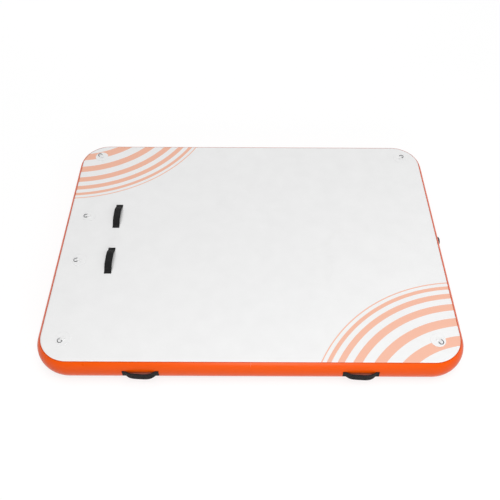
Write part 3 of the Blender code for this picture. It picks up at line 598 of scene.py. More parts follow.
def makeEdgeTree(name, inputs, build):
    sockets = {"Geometry": "Geometry", **inputs, "Material": "Material"}
    tree, given, result = newGroup(name, "GeometryNodeTree", sockets, {"Geometry": "Geometry"})
    path = addNode(tree, "GeometryNodeMeshToCurve", {0: given["Geometry"]})
    built = build(tree, given, path.outputs[0])
    real = addNode(tree, "GeometryNodeRealizeInstances", {0: built})
    feeds = {"Geometry": real.outputs[0], "Material": given["Material"]}
    feed(tree, result, {"Geometry": addNode(tree, "GeometryNodeSetMaterial", feeds).outputs[0]})
    return tree


def sweep(tree, given, path):
    upright = addNode(tree, "GeometryNodeSetCurveNormal", {"Curve": path}, mode="Z_UP")
    section = addNode(tree, "GeometryNodeObjectInfo", {"Object": given["Profile"]})
    loop = addNode(tree, "GeometryNodeMeshToCurve", {0: section.outputs["Geometry"]})
    feeds = {"Curve": upright.outputs[0], "Profile Curve": loop.outputs[0], "Fill Caps": True}
    return addNode(tree, "GeometryNodeCurveToMesh", feeds).outputs[0]


def beads(tree, given, path):
    feeds = {0: path, "Length": given["Spacing"]}
    points = addNode(tree, "GeometryNodeCurveToPoints", feeds, mode="LENGTH").outputs
    bead = addNode(tree, "GeometryNodeMeshUVSphere", {"Segments": 8, "Rings": 5, "Radius": 0.5})
    sides = {"X": given["Thickness"], "Y": given["Width"], "Z": given["Length"]}
    size = addNode(tree, "ShaderNodeCombineXYZ", sides)
    feeds = {
        "Points": points["Points"],
        "Instance": bead.outputs["Mesh"],
        "Rotation": points["Rotation"],
        "Scale": size.outputs[0],
    }
    return addNode(tree, "GeometryNodeInstanceOnPoints", feeds).outputs[0]


sweepTree = makeEdgeTree("sweepAlongEdges", {"Profile": "Object"}, sweep)
beadSizes = {"Spacing": 0.003, "Thickness": 0.0005, "Width": 0.0005, "Length": 0.002}
beadTree = makeEdgeTree("beadsAlongEdges", beadSizes, beads)
print("geometry node trees built")


# The hull

hull = {
    "wallBulge": 0.030,
    "cornerRadius": 0.205,
    "shoulderRadius": 0.018,
    "skinThickness": 0.0011,
    "bandThickness": 0.0012,
    "lapWidth": 0.030,
    "flatOverlap": 0.004,  # from the shoulder's turn inwards, where the flat of a skin is closed
    "bandEdgeDegrees": 60,
    "edgeBelly": 0.35,  # how far the band's cut edge bellies out, in band thicknesses
    "edgeShares": (0.3, 0.7),
    "seatGap": 0.0003,
    "cornerSteps": 30,
    "straightStep": 0.045,
    "wallSteps": 30,
    "shoulderSteps": 9,
    "sharpDegrees": 50,
}
folds = {  # the small folds where the band is drawn round a corner; shares are of half the hull's height
    "height": 0.0006,
    "length": 0.016,
    "cornerGain": 1.6,
    "edgeFrom": 0.55,
    "edgeShare": 0.4,
    "shift": (7.3, 3.1, 9),  # moves the noise on from one corner or edge to the next
    "waveOffset": 0.25,
}
valveHole = {"radius": 0.0213, "depth": 0.08, "steps": 96}
bandNames = [name for name in frame["nodes"] if name.startswith("side_band_")]
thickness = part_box("deck_sheet")[1][2]
seamHalfLength = max(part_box(name)[1][0] for name in bandNames) - hull["wallBulge"]
seamHalfWidth = max(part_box(name)[1][1] for name in bandNames) - hull["wallBulge"]
seamCorner = hull["cornerRadius"] - hull["wallBulge"]
cornerX, cornerY = seamHalfLength - seamCorner, seamHalfWidth - seamCorner
wallRadius = (hull["wallBulge"] ** 2 + (thickness / 2) ** 2) / (2 * hull["wallBulge"])
wallCentre = hull["wallBulge"] - wallRadius
skinRadius = wallRadius - hull["seatGap"] - hull["bandThickness"]
shoulderRise = thickness / 2 - hull["shoulderRadius"]
shoulderSlope = asin(shoulderRise / (skinRadius - hull["shoulderRadius"]))
shoulderCentre = wallCentre + (skinRadius - hull["shoulderRadius"]) * cos(shoulderSlope)
bandEdgeSlope = radians(hull["bandEdgeDegrees"])
lapBelow = hull["lapWidth"] - hull["shoulderRadius"] * (bandEdgeSlope - shoulderSlope)
lapSlope = shoulderSlope - lapBelow / skinRadius
valveFrame = Matrix.Translation(joints["cap_turn"]["pos_m"]) @ Matrix.Rotation(pi / 2, 4, "Y")


def skinPoint(slope, lift):
    # (outwards from the seam line, height) for the surface's slope: 90 degrees on the deck, 0 half way down
    if abs(slope) >= shoulderSlope:
        side = copysign(1, slope)
        centre, height, radius = shoulderCentre, thickness / 2 + side * shoulderRise, hull["shoulderRadius"]
    else:
        centre, height, radius = wallCentre, thickness / 2, skinRadius
    reach = radius + lift
    return centre + reach * cos(slope), height + reach * sin(slope)


def cornerPoint(signX, signY, turn, outwards, height):
    x, y, _ = polar(seamCorner + outwards, turn)
    return signX * (cornerX + x), signY * (cornerY + y), height


def filledStraights(points, closed):
    # adds points along any stretch longer than the straight step
    result = []
    count = len(points)
    for i in range(count if closed else count - 1):
        here, after = Vector(points[i]), Vector(points[(i + 1) % count])
        parts = max(1, ceil((after - here).length / hull["straightStep"]))
        result += [tuple(here.lerp(after, share / parts)) for share in range(parts)]
    return result if closed else result + [points[-1]]


def planRing(outwards, height):
    ring = []
    for signX, signY in ((1, 1), (-1, 1), (-1, -1), (1, -1)):
        turns = spaced(0, pi / 2, hull["cornerSteps"])
        if signX * signY < 0:
            turns.reverse()
        ring += [cornerPoint(signX, signY, turn, outwards, height) for turn in turns]
    return filledStraights(ring, True)


def makeSkin(name, node, side, material):
    flatOut = (shoulderCentre - hull["flatOverlap"], thickness / 2 + side * thickness / 2)
    flatIn = (flatOut[0], flatOut[1] - side * hull["skinThickness"])
    slopes = spaced(pi / 2, shoulderSlope, hull["shoulderSteps"])
    slopes += spaced(shoulderSlope, lapSlope, hull["shoulderSteps"])[1:]
    outer = [skinPoint(side * slope, 0) for slope in slopes]
    inner = [skinPoint(side * slope, -hull["skinThickness"]) for slope in slopes]
    section = [flatOut] + outer + inner[::-1] + [flatIn]
    skin = ringSolid(name, [planRing(*point) for point in section], material, Matrix(), hull["sharpDegrees"])
    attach(skin, "dock")
    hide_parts(node)


def bandSection():
    lift, thick = hull["seatGap"], hull["bandThickness"]
    half = spaced(bandEdgeSlope, shoulderSlope, hull["shoulderSteps"])
    wall = spaced(shoulderSlope, -shoulderSlope, hull["wallSteps"])[1:-1]
    slopes = half + wall + [-slope for slope in half[::-1]]
    outer = [skinPoint(slope, lift + thick) for slope in slopes]
    inner = [skinPoint(slope, lift) for slope in slopes]
    over = bandEdgeSlope + hull["edgeBelly"] * thick / hull["shoulderRadius"]
    upper = [skinPoint(over, lift + thick * share) for share in hull["edgeShares"]]
    lower = [skinPoint(-over, lift + thick * share) for share in hull["edgeShares"][::-1]]
    return upper + outer + lower + inner[::-1]


def pucker(point):
    # lifts a point of the band into the folds, deepest at the band's two edges
    out = Vector((abs(point.x) - cornerX, abs(point.y) - cornerY, 0))
    if out.x <= 0 or out.y <= 0:
        return
    turn = atan2(out.y, out.x)
    corner = eased(sin(2 * turn) * folds["cornerGain"])
    off = point.z - thickness / 2
    edge = eased((abs(off) / (thickness / 2) - folds["edgeFrom"]) / folds["edgeShare"])
    side = Vector((copysign(1, point.x), copysign(1, point.y)))
    shiftX, shiftY, shiftZ = folds["shift"]
    run = turn * seamCorner / folds["length"]
    wave = noise.noise(Vector((run, side.x * shiftX, side.y * shiftY + point.z * shiftZ)))
    lift = folds["height"] * corner * edge * max(0.0, wave + folds["waveOffset"])
    direction = Vector((out.x * side.x, out.y * side.y, 0)).normalized() + Vector((0, 0, copysign(1, off)))
    point += direction.normalized() * lift


def cutValveHole(band):
    shape = bmesh.new()
    radius, depth, steps = (valveHole[key] for key in ("radius", "depth", "steps"))
    bmesh.ops.create_cone(shape, cap_ends=True, segments=steps, radius1=radius, radius2=radius, depth=depth)
    cutter = finished("valveHoleCutter", shape, finishes["band"], valveFrame)
    step = band.modifiers.new("valve hole", "BOOLEAN")
    step.operation = "DIFFERENCE"
    step.object = cutter
    mesh = evaluatedMesh(band)
    band.modifiers.clear()
    band.data = mesh
    bpy.data.objects.remove(cutter, do_unlink=True)


def cornerPath(signX, signY, endY):
    # from the end wall round one corner to the middle of the long wall; every strip runs anticlockwise, so
    # its profile faces out
    path = [(signX * seamHalfLength, endY, 0)]
    path += [cornerPoint(signX, signY, turn, 0, 0) for turn in spaced(0, pi / 2, hull["cornerSteps"])]
    path.append((signX * hull["seatGap"] / 2, signY * seamHalfWidth, 0))
    return path[::-1] if signX * signY < 0 else path


def makeBand(node, path, section):
    name = "band" + node.replace("side_band", "").title().replace("_", "")
    guide = edgeObject(name + "Path", [(filledStraights(path, False), False)])
    band = grownMesh(guide, sweepTree, {"Profile": section}, name, finishes["band"], hull["sharpDegrees"])
    for vertex in band.data.vertices:
        pucker(vertex.co)
    if node == "side_band_valve":
        cutValveHole(band)
    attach(band, "dock")
    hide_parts(node)


def makeHull():
    makeSkin("deckSkin", "deck_sheet", 1, finishes["deck"])
    makeSkin("baseSkin", "base_sheet", -1, finishes["base"])
    section = edgeObject("bandSection", [([(out, -height, 0) for out, height in bandSection()], True)])
    panelFront, panelBack = (corner[1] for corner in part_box("side_band_valve"))
    halfGap = hull["seatGap"] / 2
    makeBand("side_band_front_left", cornerPath(-1, -1, -halfGap), section)
    makeBand("side_band_front_right", cornerPath(1, -1, panelFront - hull["seatGap"]), section)
    makeBand("side_band_back_left", cornerPath(-1, 1, halfGap), section)
    makeBand("side_band_back_right", cornerPath(1, 1, panelBack + hull["seatGap"]), section)
    makeBand("side_band_valve", [(seamHalfLength, panelFront, 0), (seamHalfLength, panelBack, 0)], section)
    bpy.data.objects.remove(section, do_unlink=True)
    print("hull made")


makeHull()


# Webbing handles. In a handle's own frame X runs along the strap and Z away from the skin

strap = {
    "width": 0.044,
    "thickness": 0.0045,
    "freeLength": 0.166,
    "sewnLength": 0.018,
    "flatness": 4,  # the higher, the flatter the arch is on top
    "twistDegrees": 7,  # how far a side handle's middle turns its face up
    "settleShare": 0.5,  # the strap has left the wall's curve at this share of its rise
    "blendShare": 0.66,  # where the lean takes over, as a share of the way to the sewn end
    "edgeRadius": 0.0010,
    "edgeDegrees": 75,
    "edgeSteps": 3,
    "layerGroove": 0.0006,
    "grooveLip": 1.3,  # the groove's lip, depth and floor in groove sizes
    "grooveDepth": 0.6,
    "grooveFloor": 0.35,
    "rowsPerSide": 44,
    "acrossSteps": 12,
    "sharpDegrees": 40,
}
arch = {  # a higher foot ease leaves the sewn ends more softly; the swell is fuller on one side
    "deck": {"rise": 0.026, "footEase": 1.5, "swell": 0.0},
    "wall": {"rise": 0.0185, "footEase": 1.2, "swell": 0.22},
    "slopeStep": 0.0001,
}
seam = {
    "inset": 0.0040,
    "boxLength": 0.0105,
    "sink": 0.0002,
    "rowParts": 6,
    "pointsPerPart": 10,
    "stitch": {"Spacing": 0.0034, "Thickness": 0.0009, "Width": 0.0009, "Length": 0.0027},
}
strapReach = strap["freeLength"] / 2


def handleFrame(joint, onWall):
    place = Vector(joint["pos_m"])
    away = Vector((0, copysign(1, place.y), 0)) if onWall else Vector((0, 0, 1))
    seat = away * (hull["seatGap"] + strap["thickness"] / 2)
    return standingFrame(Vector(joint["axis"]).normalized(), away, place - seat)


def strapRise(along, onWall):
    form = arch["wall" if onWall else "deck"]
    share = max(-1, min(1, along / strapReach))
    swell = 1 + form["swell"] * share * (1 - share ** 2)
    return form["rise"] * swell * (1 - abs(share) ** strap["flatness"]) ** form["footEase"]


def strapSlope(along, onWall):
    step = arch["slopeStep"]
    return atan((strapRise(along + step, onWall) - strapRise(along - step, onWall)) / (2 * step))


def strapPoint(along, across, height, onWall):
    # height is measured from the strap's middle, square to the strap
    slope, rise = strapSlope(along, onWall), strapRise(along, onWall)
    middle = hull["seatGap"] + strap["thickness"] / 2 + rise
    lifted = height * cos(slope)
    x = along - height * sin(slope)
    if not onWall:
        return x, across, middle + lifted
    full = rise / arch["wall"]["rise"]
    settle = 1 - min(1, full / strap["settleShare"])
    drop = settle * (wallRadius - sqrt(wallRadius ** 2 - across ** 2))
    turn = -radians(strap["twistDegrees"]) * full
    sideways = across * cos(turn) - lifted * sin(turn)
    return x, sideways, middle + across * sin(turn) + lifted * cos(turn) - drop


def strapSection():
    # (across, height) round the strap: two layers of webbing with a groove between them at both edges
    half, thick = strap["width"] / 2, strap["thickness"] / 2
    bend, groove = strap["edgeRadius"], strap["layerGroove"]
    layer = arc(half - bend, thick - bend, bend, radians(strap["edgeDegrees"]), 0, strap["edgeSteps"])
    layer.append((half, groove * strap["grooveLip"]))
    layer.append((half - groove * strap["grooveDepth"], groove * strap["grooveFloor"]))
    rightSide = layer + [(across, -height) for across, height in layer[::-1]]
    top = [(across, thick) for across in spaced(-half + bend, half - bend, strap["acrossSteps"])]
    return top + rightSide + [(-across, -height) for across, height in top + rightSide]


def makeStrapHalf(name, matrix, side, onWall):
    section = strapSection()
    far = strapReach + strap["sewnLength"]
    alongs = [side * share for share in spaced(0, far, strap["rowsPerSide"])]
    rows = [[strapPoint(along, across, height, onWall) for across, height in section] for along in alongs]
    acrosses, run = [0.0], [0.0]
    for here, after in zip(section, section[1:] + section[:1]):
        acrosses.append(acrosses[-1] + (Vector(after) - Vector(here)).length)
    for near, after in zip(alongs, alongs[1:]):
        climb = strapRise(after, onWall) - strapRise(near, onWall)
        run.append(run[-1] + side * hypot(after - near, climb))
    return ringSolid(name, rows, finishes["strap"], matrix, strap["sharpDegrees"], run, acrosses)


def seamLines(side, onWall):
    # a box with a cross at the sewn end, and one row near each edge up to the strap's middle
    top = strap["thickness"] / 2 - seam["sink"]
    half = strap["width"] / 2 - seam["inset"]
    far = strapReach + strap["sewnLength"] - seam["inset"]
    near = far - seam["boxLength"]
    start = near - seam["stitch"]["Spacing"]
    lines = crossedBox(near, far, -half, half)
    for across in (-half, half):
        lines.append(([(start - start * share, across) for share in spaced(0, 1, seam["rowParts"])], False))
    result = []
    for corners, closed in lines:
        points = []
        for here, after in zip(corners, corners[1:] + corners[:closed]):
            for share in spaced(0, 1, seam["pointsPerPart"])[:-1]:
                points.append([first + (last - first) * share for first, last in zip(here, after)])
        if not closed:
            points.append(corners[-1])
        result.append(([strapPoint(side * along, across, top, onWall) for along, across in points], closed))
    return result


def makeHandle(joint):
    name = joint["child"]
    onWall = joint["pos_m"][2] <= thickness
    matrix = handleFrame(joint, onWall)
    for label, side in (("1", -1), ("2", 1)):
        half = makeStrapHalf(name + "_strap_" + label, matrix, side, onWall)
        guide = edgeObject("seam", seamLines(side, onWall), matrix)
        thread = grownMesh(guide, beadTree, seam["stitch"], name + "_stitches_" + label, finishes["thread"])
        for piece in (half, thread):
            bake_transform(piece)
        nodes = [name + "_end_" + label] + ([name + "_grip"] if side == 1 else [])
        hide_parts(*nodes)


handleJoints = [joint for joint in frame["joints"] if joint["name"].endswith("_lean")]
for joint in handleJoints:
    makeHandle(joint)
print("handles made:", len(handleJoints))


# D-rings. In a ring's own frame the origin is on the bar, X runs along it and Y points to the round end

ring = {
    "wireRadius": 0.0020,
    "halfWidth": 0.0130,
    "armLength": 0.0085,
    "bendRadius": 0.0030,
    "clearance": 0.0003,
    "wireSides": 5,
    "bendSteps": 6,
    "roundSteps": 32,
}
tab = {
    "width": 0.0180,
    "thickness": 0.0011,
    "tailLength": 0.0240,
    "edge": 0.00025,
    "foldEnd": 2.05,  # the turn round the bar, from its front, where the upper layer leaves it
    "foldSteps": 22,
    "settling": [(1.55, 1.35), (2.1, 1.05)],  # (fold radii behind the bar, thicknesses over the lower layer)
    "flatFrom": 0.7,
    "flatLift": 1.03,
    "seamLift": 2.05,
    "seamFrom": 2.6,
    "seamInset": 0.0030,
    "stitch": {"Spacing": 0.0024, "Thickness": 0.0007, "Width": 0.0007, "Length": 0.0019},
}
patch = {
    "radius": 0.044,
    "thickness": 0.0012,
    "edge": 0.0008,
    "softness": 0.0005,
    "softSteps": 3,
    "beadRadius": 0.0395,
    "beadWidth": 0.0018,
    "beadRise": 0.00025,
    "offset": 0.0120,  # from the ring's bar back to the patch's middle, under the tab
    "steps": 112,
    "sharpDegrees": 50,
}
tabRound = ring["wireRadius"] + ring["clearance"] + tab["thickness"]
ringReach = ring["armLength"] + ring["halfWidth"]


def ringPath():
    bend, wide = ring["bendRadius"], ring["halfWidth"]
    inner, steps = wide - bend, ring["bendSteps"]
    points = [(x, 0) for x in spaced(-inner, inner, steps)[1:-1]]
    points += arc(inner, bend, bend, -pi / 2, 0, steps)
    points += arc(0, ring["armLength"], wide, 0, pi, ring["roundSteps"])
    points += arc(-inner, bend, bend, pi, 1.5 * pi, steps)
    return [(x, y, 0) for x, y in points]


def tabOutline():
    # the strip's path from the lower layer's end round the bar to the upper layer's end, given its thickness
    thick, tail = tab["thickness"], tab["tailLength"]
    half = thick / 2
    low = -tabRound + half
    path = [(-tail, low), (-tail / 2, low)]
    path += arc(0, 0, tabRound - half, -pi / 2, tab["foldEnd"], tab["foldSteps"])
    path += [(-behind * tabRound, low + over * thick) for behind, over in tab["settling"]]
    path += [(-tail * share, low + thick * tab["flatLift"]) for share in (tab["flatFrom"], 1)]
    sides = ([], [])
    for i, point in enumerate(path):
        before, after = Vector(path[max(0, i - 1)]), Vector(path[min(len(path) - 1, i + 1)])
        ahead = (after - before).normalized()
        normal = Vector((ahead.y, -ahead.x))
        for rail, sign in zip(sides, (1, -1)):
            rail.append(tuple(Vector(point) + normal * half * sign))
    return sides[0] + sides[1][::-1]


def makeTab(name, matrix):
    rows = [[(x, y, z) for y, z in tabOutline()] for x in (-tab["width"] / 2, tab["width"] / 2)]
    piece = ringSolid(name, rows, finishes["patch"], matrix, meshing["sharpDegrees"])
    bevel = piece.modifiers.new("soft edges", "BEVEL")
    bevel.width = tab["edge"]
    bevel.segments = 2
    bevel.limit_method = "ANGLE"
    return piece


def makeTabStitches(name, matrix):
    low = -tabRound + tab["seamLift"] * tab["thickness"]
    half = tab["width"] / 2 - tab["seamInset"]
    box = crossedBox(-half, half, -tab["seamFrom"] * tabRound, tab["seamInset"] - tab["tailLength"])
    lines = [([(x, y, low) for x, y in line], closed) for line, closed in box]
    guide = edgeObject("tabSeam", lines, matrix)
    return grownMesh(guide, beadTree, tab["stitch"], name, finishes["whiteThread"])


def makePatch(name, matrix):
    middle = matrix @ Matrix.Translation((0, -patch["offset"], 0))
    middle.translation.z = thickness + hull["seatGap"]
    top, rim, bead, wide = patch["thickness"], patch["radius"], patch["beadRadius"], patch["beadWidth"]
    raised = top + patch["beadRise"]
    profile = [(0, 0), (rim, 0), (rim, top - patch["edge"]), (rim - patch["edge"], top)]
    profile += [(bead + wide, top), (bead + wide / 2, raised), (bead - wide / 2, raised), (bead - wide, top)]
    soft = rounded(profile + [(0, top)], patch["softness"], patch["softSteps"])
    sharp = patch["sharpDegrees"]
    return lathePiece(name, soft, patch["steps"], finishes["patch"], middle, sharpDegrees=sharp)


def makeRing(joint):
    name = joint["child"]
    matrix = standingFrame(Vector(joint["axis"]).normalized(), Vector((0, 0, 1)), joint["pos_m"])
    label = "".join(word.title() for word in name.split("_"))
    droop = asin((tabRound - ring["wireRadius"]) / ringReach)
    turned = matrix @ Matrix.Rotation(-droop, 4, "X")
    radius, sides = ring["wireRadius"], ring["wireSides"]
    wire = wireMesh("ring" + label, ringPath(), radius, True, sides, turned, finishes["steel"])
    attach(wire, name)
    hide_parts(name)

    disc = makePatch("patch" + label, matrix)
    fold = makeTab("tab" + label, matrix)
    thread = makeTabStitches("tabStitches" + label, matrix)
    for piece in (disc, fold, thread):
        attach(piece, "dock")
    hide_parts(name + "_patch")
    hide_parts(name + "_tab")


ringJoints = [joint for joint in frame["joints"] if joint["name"].endswith("_swing")]
for joint in ringJoints:
    makeRing(joint)
print("rings made:", len(ringJoints))


# The valve. In its own frame Z points out of the wall and zero is the wall's outermost line

valve = {
    "boreRadius": 0.0175,
    "barrelRadius": 0.0210,
    "barrelDepth": 0.0300,
    "flangeRadius": 0.0310,
    "flangeFace": 0.0038,
    "flangeEase": (0.0022, 0.0012),  # the slant at the flange's rim: across it and down
    "gasketTop": 0.0016,
    "softness": 0.0004,  # of the body's corners, and how far hub and spokes run into each other
    "softSteps": 3,
    "steps": 96,
    "hubRadius": 0.0060,
    "hubBore": 0.0033,
    "hubDepth": 0.0220,
    "hubThickness": 0.0030,
    "hubSteps": 48,
    "ribWidth": 0.0030,
    "ribs": 4,
}
cap = {
    "radius": 0.0230,
    "low": 0.0057,
    "top": 0.0099,
    "steps": 320,
    "softness": 0.0006,
    "bossRadius": 0.0169,
    "bossDepth": 0.0030,
    "scallops": 8,
    "scallopRadius": 0.0030,
    "scallopBite": 0.0012,
    "scallopReach": 0.004,
    "dish": 0.0009,
    "dishRim": (0.0075, 0.0060),  # the slope up from the dish, in from the rim
    "rimEase": 0.0009,
    "rib": {"Spacing": 0.0017, "Thickness": 0.0007, "Length": 0.0008},
    "ribMargin": 0.0012,
    "ribSink": 0.0001,
    "ribDrop": 0.0002,
    "barSize": (0.027, 0.0046, 0.0012),
    "barLift": 0.0003,
    "barEdge": 0.0005,
}
tether = {
    "inner": 0.0200,
    "width": 0.0022,
    "low": 0.0041,
    "thickness": 0.0013,
    "steps": 96,
    "armInner": 0.0245,
    "sweep": 150,
    "armSteps": 48,
    "bridgeWidth": 0.0026,
    "bridgeRun": 0.0006,  # how far the bridge runs into the collar
    "bridgeInset": 0.0002,
}
peg = {
    "radius": 0.0015,
    "height": 0.0028,
    "root": 0.001,
    "clearance": 0.0003,
    "eyeWidth": 0.0012,
    "eyeSoftness": 0.0003,
    "pegSteps": 32,
    "eyeSteps": 48,
}
spring = {"wireRadius": 0.0004, "wireSides": 3, "turns": 4, "stepsPerTurn": 28, "travel": 0.0045}
tetherSweep = radians(tether["sweep"])
armMiddle = tether["armInner"] + tether["width"] / 2
pegPlace = Matrix.Translation(polar(armMiddle, tetherSweep))


def saddle(radius, turn, lift):
    # height of the curved wall, lifted off it, under a point of the flange
    sideways = radius * cos(turn)
    return sqrt((wallRadius + lift) ** 2 - sideways ** 2) - wallRadius


def rimRadius(radius, turn):
    # the cap's edge with its finger scallops
    if radius < cap["radius"] - cap["scallopReach"]:
        return radius
    pitch = tau / cap["scallops"]
    off = (turn % pitch) - pitch / 2
    centre = cap["radius"] + cap["scallopRadius"] - cap["scallopBite"]
    sideways = centre * sin(off)
    if abs(sideways) >= cap["scallopRadius"]:
        return radius
    inner = centre * cos(off) - sqrt(cap["scallopRadius"] ** 2 - sideways ** 2)
    return radius - max(0.0, cap["radius"] - inner)


def makeValveBody(matrix):
    face, bore, outer = valve["flangeFace"], valve["boreRadius"], valve["flangeRadius"]
    barrel, depth, soft = valve["barrelRadius"], valve["barrelDepth"], valve["softness"]
    easeIn, easeDown = valve["flangeEase"]
    flange = [(bore, face), (outer - easeIn, face), (outer, face - easeDown)]
    profile = rounded(flange + [(barrel, -depth), (bore, -depth)], soft, valve["softSteps"])
    split = max(i for i, point in enumerate(profile) if point[1] > 0) + 1
    profile[split:split] = [(radius, None) for radius in (outer, (outer + barrel) / 2, barrel)]

    def height(radius, z, turn):
        # the flange's underside, without a height of its own, follows the wall
        return saddle(radius, turn, valve["gasketTop"]) if z is None else z

    shape = bmesh.new()
    addLathe(shape, profile, valve["steps"], heightAt=height)
    low, top = -valve["hubDepth"] - valve["hubThickness"], -valve["hubDepth"]
    addLathe(shape, roundedBlock(valve["hubBore"], valve["hubRadius"], low, top), valve["hubSteps"])
    pin = roundedBlock(0, peg["radius"], face - peg["root"], face + peg["height"])
    addLathe(shape, pin, peg["pegSteps"], place=pegPlace)
    start, end = valve["hubRadius"] - soft, bore + soft
    middle = Matrix.Translation(((start + end) / 2, 0, (top + low) / 2))
    for i in range(valve["ribs"]):
        turned = Matrix.Rotation(tau * i / valve["ribs"], 4, "Z")
        addBlock(shape, (end - start, valve["ribWidth"], top - low - soft), turned @ middle)
    body = finished("valveBody", shape, finishes["plastic"], matrix)
    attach(body, "dock")
    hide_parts("valve_body")


def makeCap(matrix):
    low, top, rim, boss = cap["low"], cap["top"], cap["radius"], cap["bossRadius"]
    sunk, ease, bottom = top - cap["dish"], cap["rimEase"], low - cap["bossDepth"]
    dishOuter, lipInner = (rim - inwards for inwards in cap["dishRim"])
    profile = [(0, sunk), (dishOuter, sunk), (lipInner, top), (rim - ease, top), (rim, top - ease)]
    profile = rounded(profile + [(rim, low), (boss, low), (boss, bottom), (0, bottom)], cap["softness"])
    body = lathePiece("capShell", profile, cap["steps"], finishes["plastic"], matrix, rimRadius)
    edge = []
    for i in range(cap["steps"]):
        turn = tau * i / cap["steps"]
        edge.append(polar(rimRadius(rim, turn) - cap["ribSink"], turn, (low + top) / 2 - cap["ribDrop"]))
    guide = edgeObject("capEdge", [(edge, True)], matrix)
    ribSizes = {**cap["rib"], "Width": top - low - cap["ribMargin"]}
    ribs = grownMesh(guide, beadTree, ribSizes, "capRibs", finishes["plastic"])
    grip = bmesh.new()
    addBlock(grip, cap["barSize"], Matrix.Translation((0, 0, sunk + cap["barLift"])))
    bmesh.ops.bevel(grip, geom=grip.edges, offset=cap["barEdge"], segments=3, affect="EDGES", profile=0.5)
    bar = finished("capBar", grip, finishes["plastic"], matrix)
    for piece in (body, ribs, bar):
        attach(piece, "valve_cap")
    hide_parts("valve_cap")


def makeTether(matrix):
    low, high = tether["low"], tether["low"] + tether["thickness"]
    inner, outer = tether["inner"], tether["inner"] + tether["width"]
    loop = roundedBlock(inner, outer, low, high)
    collar = lathePiece("tetherCollar", loop, tether["steps"], finishes["rubber"], matrix)
    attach(collar, "cap_collar")
    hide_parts("cap_tether")

    near, far = tether["armInner"], tether["armInner"] + tether["width"]
    hole = peg["radius"] + peg["clearance"]
    eyeReach = hole + peg["eyeWidth"]
    armEnd = tetherSweep - (eyeReach - peg["eyeWidth"] / 2) / armMiddle
    section = roundedBlock(near, far, low, high, steps=3)
    turns = spaced(0, armEnd, tether["armSteps"])
    arm = bmesh.new()
    addRings(arm, [[polar(reach, turn, z) for reach, z in section] for turn in turns])
    eye = roundedBlock(hole, eyeReach, low, high, peg["eyeSoftness"])
    addLathe(arm, eye, peg["eyeSteps"], place=pegPlace)
    start, end = outer - tether["bridgeRun"], far - tether["bridgeInset"]
    size = (end - start, tether["bridgeWidth"], high - low - tether["bridgeInset"])
    addBlock(arm, size, Matrix.Translation(((start + end) / 2, 0, (low + high) / 2)))
    strip = finished("tetherArm", arm, finishes["rubber"], matrix)
    start = matrix @ Vector((far, 0, low))
    end = matrix @ Vector((armMiddle * cos(tetherSweep) + eyeReach, armMiddle * sin(tetherSweep), low))
    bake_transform(strip)


def makeSpring(matrix):
    (low, sideLow, _), (high, sideHigh, _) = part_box("valve_spring")
    wire, turns = spring["wireRadius"], spring["turns"]
    start, rise = low - matrix.translation.x + wire, high - low - 2 * wire
    reach = (sideHigh - sideLow) / 2 - wire
    shares = spaced(0, 1, turns * spring["stepsPerTurn"])
    points = [polar(reach, tau * turns * share, start + rise * share) for share in shares]
    coil = wireMesh("valveSpring", points, wire, False, spring["wireSides"], matrix, finishes["steel"])
    push = joints["valve_push"]
    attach(coil, push["parent"])
    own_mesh(coil)
    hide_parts("valve_spring")


makeValveBody(valveFrame)
makeCap(valveFrame)
makeTether(valveFrame)
makeSpring(valveFrame)
print("valve made")


# CAD solids that keep their own shape get a finish

keptNodes = {
    "band": tuple(name for name in frame["nodes"] if name.startswith("band_join_")),
    "yarn": ("drop_stitch_core",),
    "rubber": ("valve_gasket", "valve_seal", "cap_seal"),
    "greyPlastic": ("valve_nut", "valve_disc", "valve_stem"),
}
for finish, nodes in keptNodes.items():
    for node in nodes:
        for materialSlot in frame["nodes"][node].material_slots:
            materialSlot.material = finishes[finish]
print("kept nodes finished:", sum(len(nodes) for nodes in keptNodes.values()))


# Studio

studio = {
    "floorSize": 14.0,
    "floorDrop": 0.0006,
    "floorColour": (0.54, 0.54, 0.54, 1.0),
    "floorRough": 0.9,
    "shadowShare": 0.20,
    "seenColour": (1.0, 1.0, 1.0, 1.0),  # what the camera sees of the floor and the world
    "worldStrength": 0.16,
    "overheadStrength": 2.35,
    "overheadSpreadDegrees": 60,
    "overheadPlace": (0, 0, 5),
}
softboxes = {
    "front": {"place": (0.35, -4.3, 1.5), "size": (1.6, 1.2), "power": 59},
    "back": {"place": (-0.6, 5.2, 1.0), "size": (3.0, 1.0), "power": 26},
    "right": {"place": (2.7, -0.9, 2.2), "size": (1.5, 1.5), "power": 11},
}
photoCamera = {
    "focalPixels": 634.349,
    "framePixels": 500,
    "sensorWidth": 36.0,
    "pitchDegrees": 50.348,
    "yawDegrees": 0.259,
    "rollDegrees": 0.456,
    "place": (-0.0163, -2.6347, 3.2282),
    "clipEnd": 60,
}


def makeFloor():
    shape = bmesh.new()
    bmesh.ops.create_grid(shape, x_segments=1, y_segments=1, size=studio["floorSize"] / 2)
    bmesh.ops.translate(shape, vec=(0, 0, -studio["floorDrop"]), verts=shape.verts)
    material, tree, shader = newMaterial("studioFloor")
    path = addNode(tree, "ShaderNodeLightPath").outputs
    colour = mixedColour(tree, path["Is Camera Ray"], studio["floorColour"], studio["seenColour"])
    feed(tree, shader, {"Base Color": colour, "Roughness": studio["floorRough"], "Specular IOR Level": 0.0})
    seen = mathNode(tree, "MAXIMUM", path["Is Camera Ray"], path["Is Glossy Ray"])
    seen = mathNode(tree, "MAXIMUM", seen, path["Is Transmission Ray"])
    white = addNode(tree, "ShaderNodeEmission", {"Color": studio["seenColour"], "Strength": 1.0})
    share = product(tree, seen, 1 - studio["shadowShare"])
    mix = addNode(tree, "ShaderNodeMixShader", {0: share, 1: shader.outputs[0], 2: white.outputs[0]})
    feed(tree, tree.nodes["Material Output"], {"Surface": mix.outputs[0]})
    floor = finished("studioFloor", shape, material)


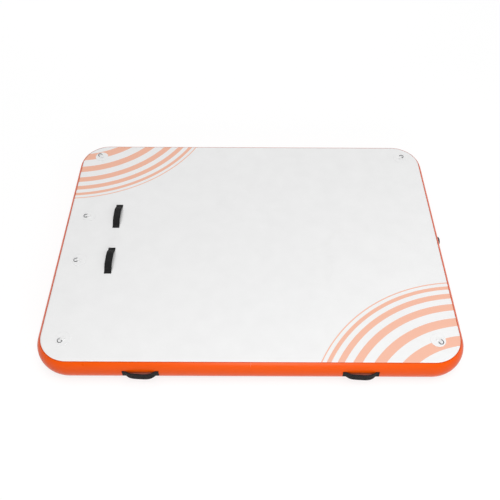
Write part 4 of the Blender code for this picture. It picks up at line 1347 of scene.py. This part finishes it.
def makeWorld():
    world = bpy.data.worlds.new("studio")
    bpy.context.scene.world = world
    world.use_nodes = True
    tree = world.node_tree
    tree.nodes.clear()
    path = addNode(tree, "ShaderNodeLightPath").outputs
    seen = mathNode(tree, "MAXIMUM", path["Is Camera Ray"], path["Is Transmission Ray"])
    mixed = {0: seen}
    for place, strength in ((1, studio["worldStrength"]), (2, 1.0)):
        feeds = {"Color": studio["seenColour"], "Strength": strength}
        mixed[place] = addNode(tree, "ShaderNodeBackground", feeds).outputs[0]
    mix = addNode(tree, "ShaderNodeMixShader", mixed)
    addNode(tree, "ShaderNodeOutputWorld", {"Surface": mix.outputs[0]})


def addLamp(name, data, place):
    # a lamp that shines at the origin
    lamp = addObject(name, data)
    lamp.location = place
    lamp.rotation_euler = (-Vector(place)).to_track_quat("-Z", "Y").to_euler()


def makeLights():
    overhead = bpy.data.lights.new("overheadLight", "SUN")
    overhead.energy = studio["overheadStrength"]
    overhead.angle = radians(studio["overheadSpreadDegrees"])
    addLamp("overheadLight", overhead, studio["overheadPlace"])
    for side, form in softboxes.items():
        softbox = bpy.data.lights.new(side + "Softbox", "AREA")
        softbox.shape = "RECTANGLE"
        softbox.size, softbox.size_y = form["size"]
        softbox.energy = form["power"]
        addLamp(side + "Softbox", softbox, form["place"])


def makeCamera():
    pitch, yaw, roll = (radians(photoCamera[key]) for key in ("pitchDegrees", "yawDegrees", "rollDegrees"))
    ahead = Vector((sin(yaw) * cos(pitch), cos(yaw) * cos(pitch), -sin(pitch)))
    level = Vector((cos(yaw), -sin(yaw), 0))
    upright = level.cross(ahead)
    right = level * cos(roll) + upright * sin(roll)
    up = upright * cos(roll) - level * sin(roll)
    data = bpy.data.cameras.new("photoCamera")
    data.sensor_width = photoCamera["sensorWidth"]
    data.lens = photoCamera["focalPixels"] / photoCamera["framePixels"] * photoCamera["sensorWidth"]
    data.clip_end = photoCamera["clipEnd"]
    camera = addObject("photoCamera", data)
    matrix = Matrix((right, up, -ahead)).transposed().to_4x4()
    matrix.translation = photoCamera["place"]
    camera.matrix_world = matrix
    bpy.context.scene.camera = camera


makeFloor()
makeWorld()
makeLights()
makeCamera()
bpy.context.scene.view_settings.view_transform = "Standard"
print("studio made")
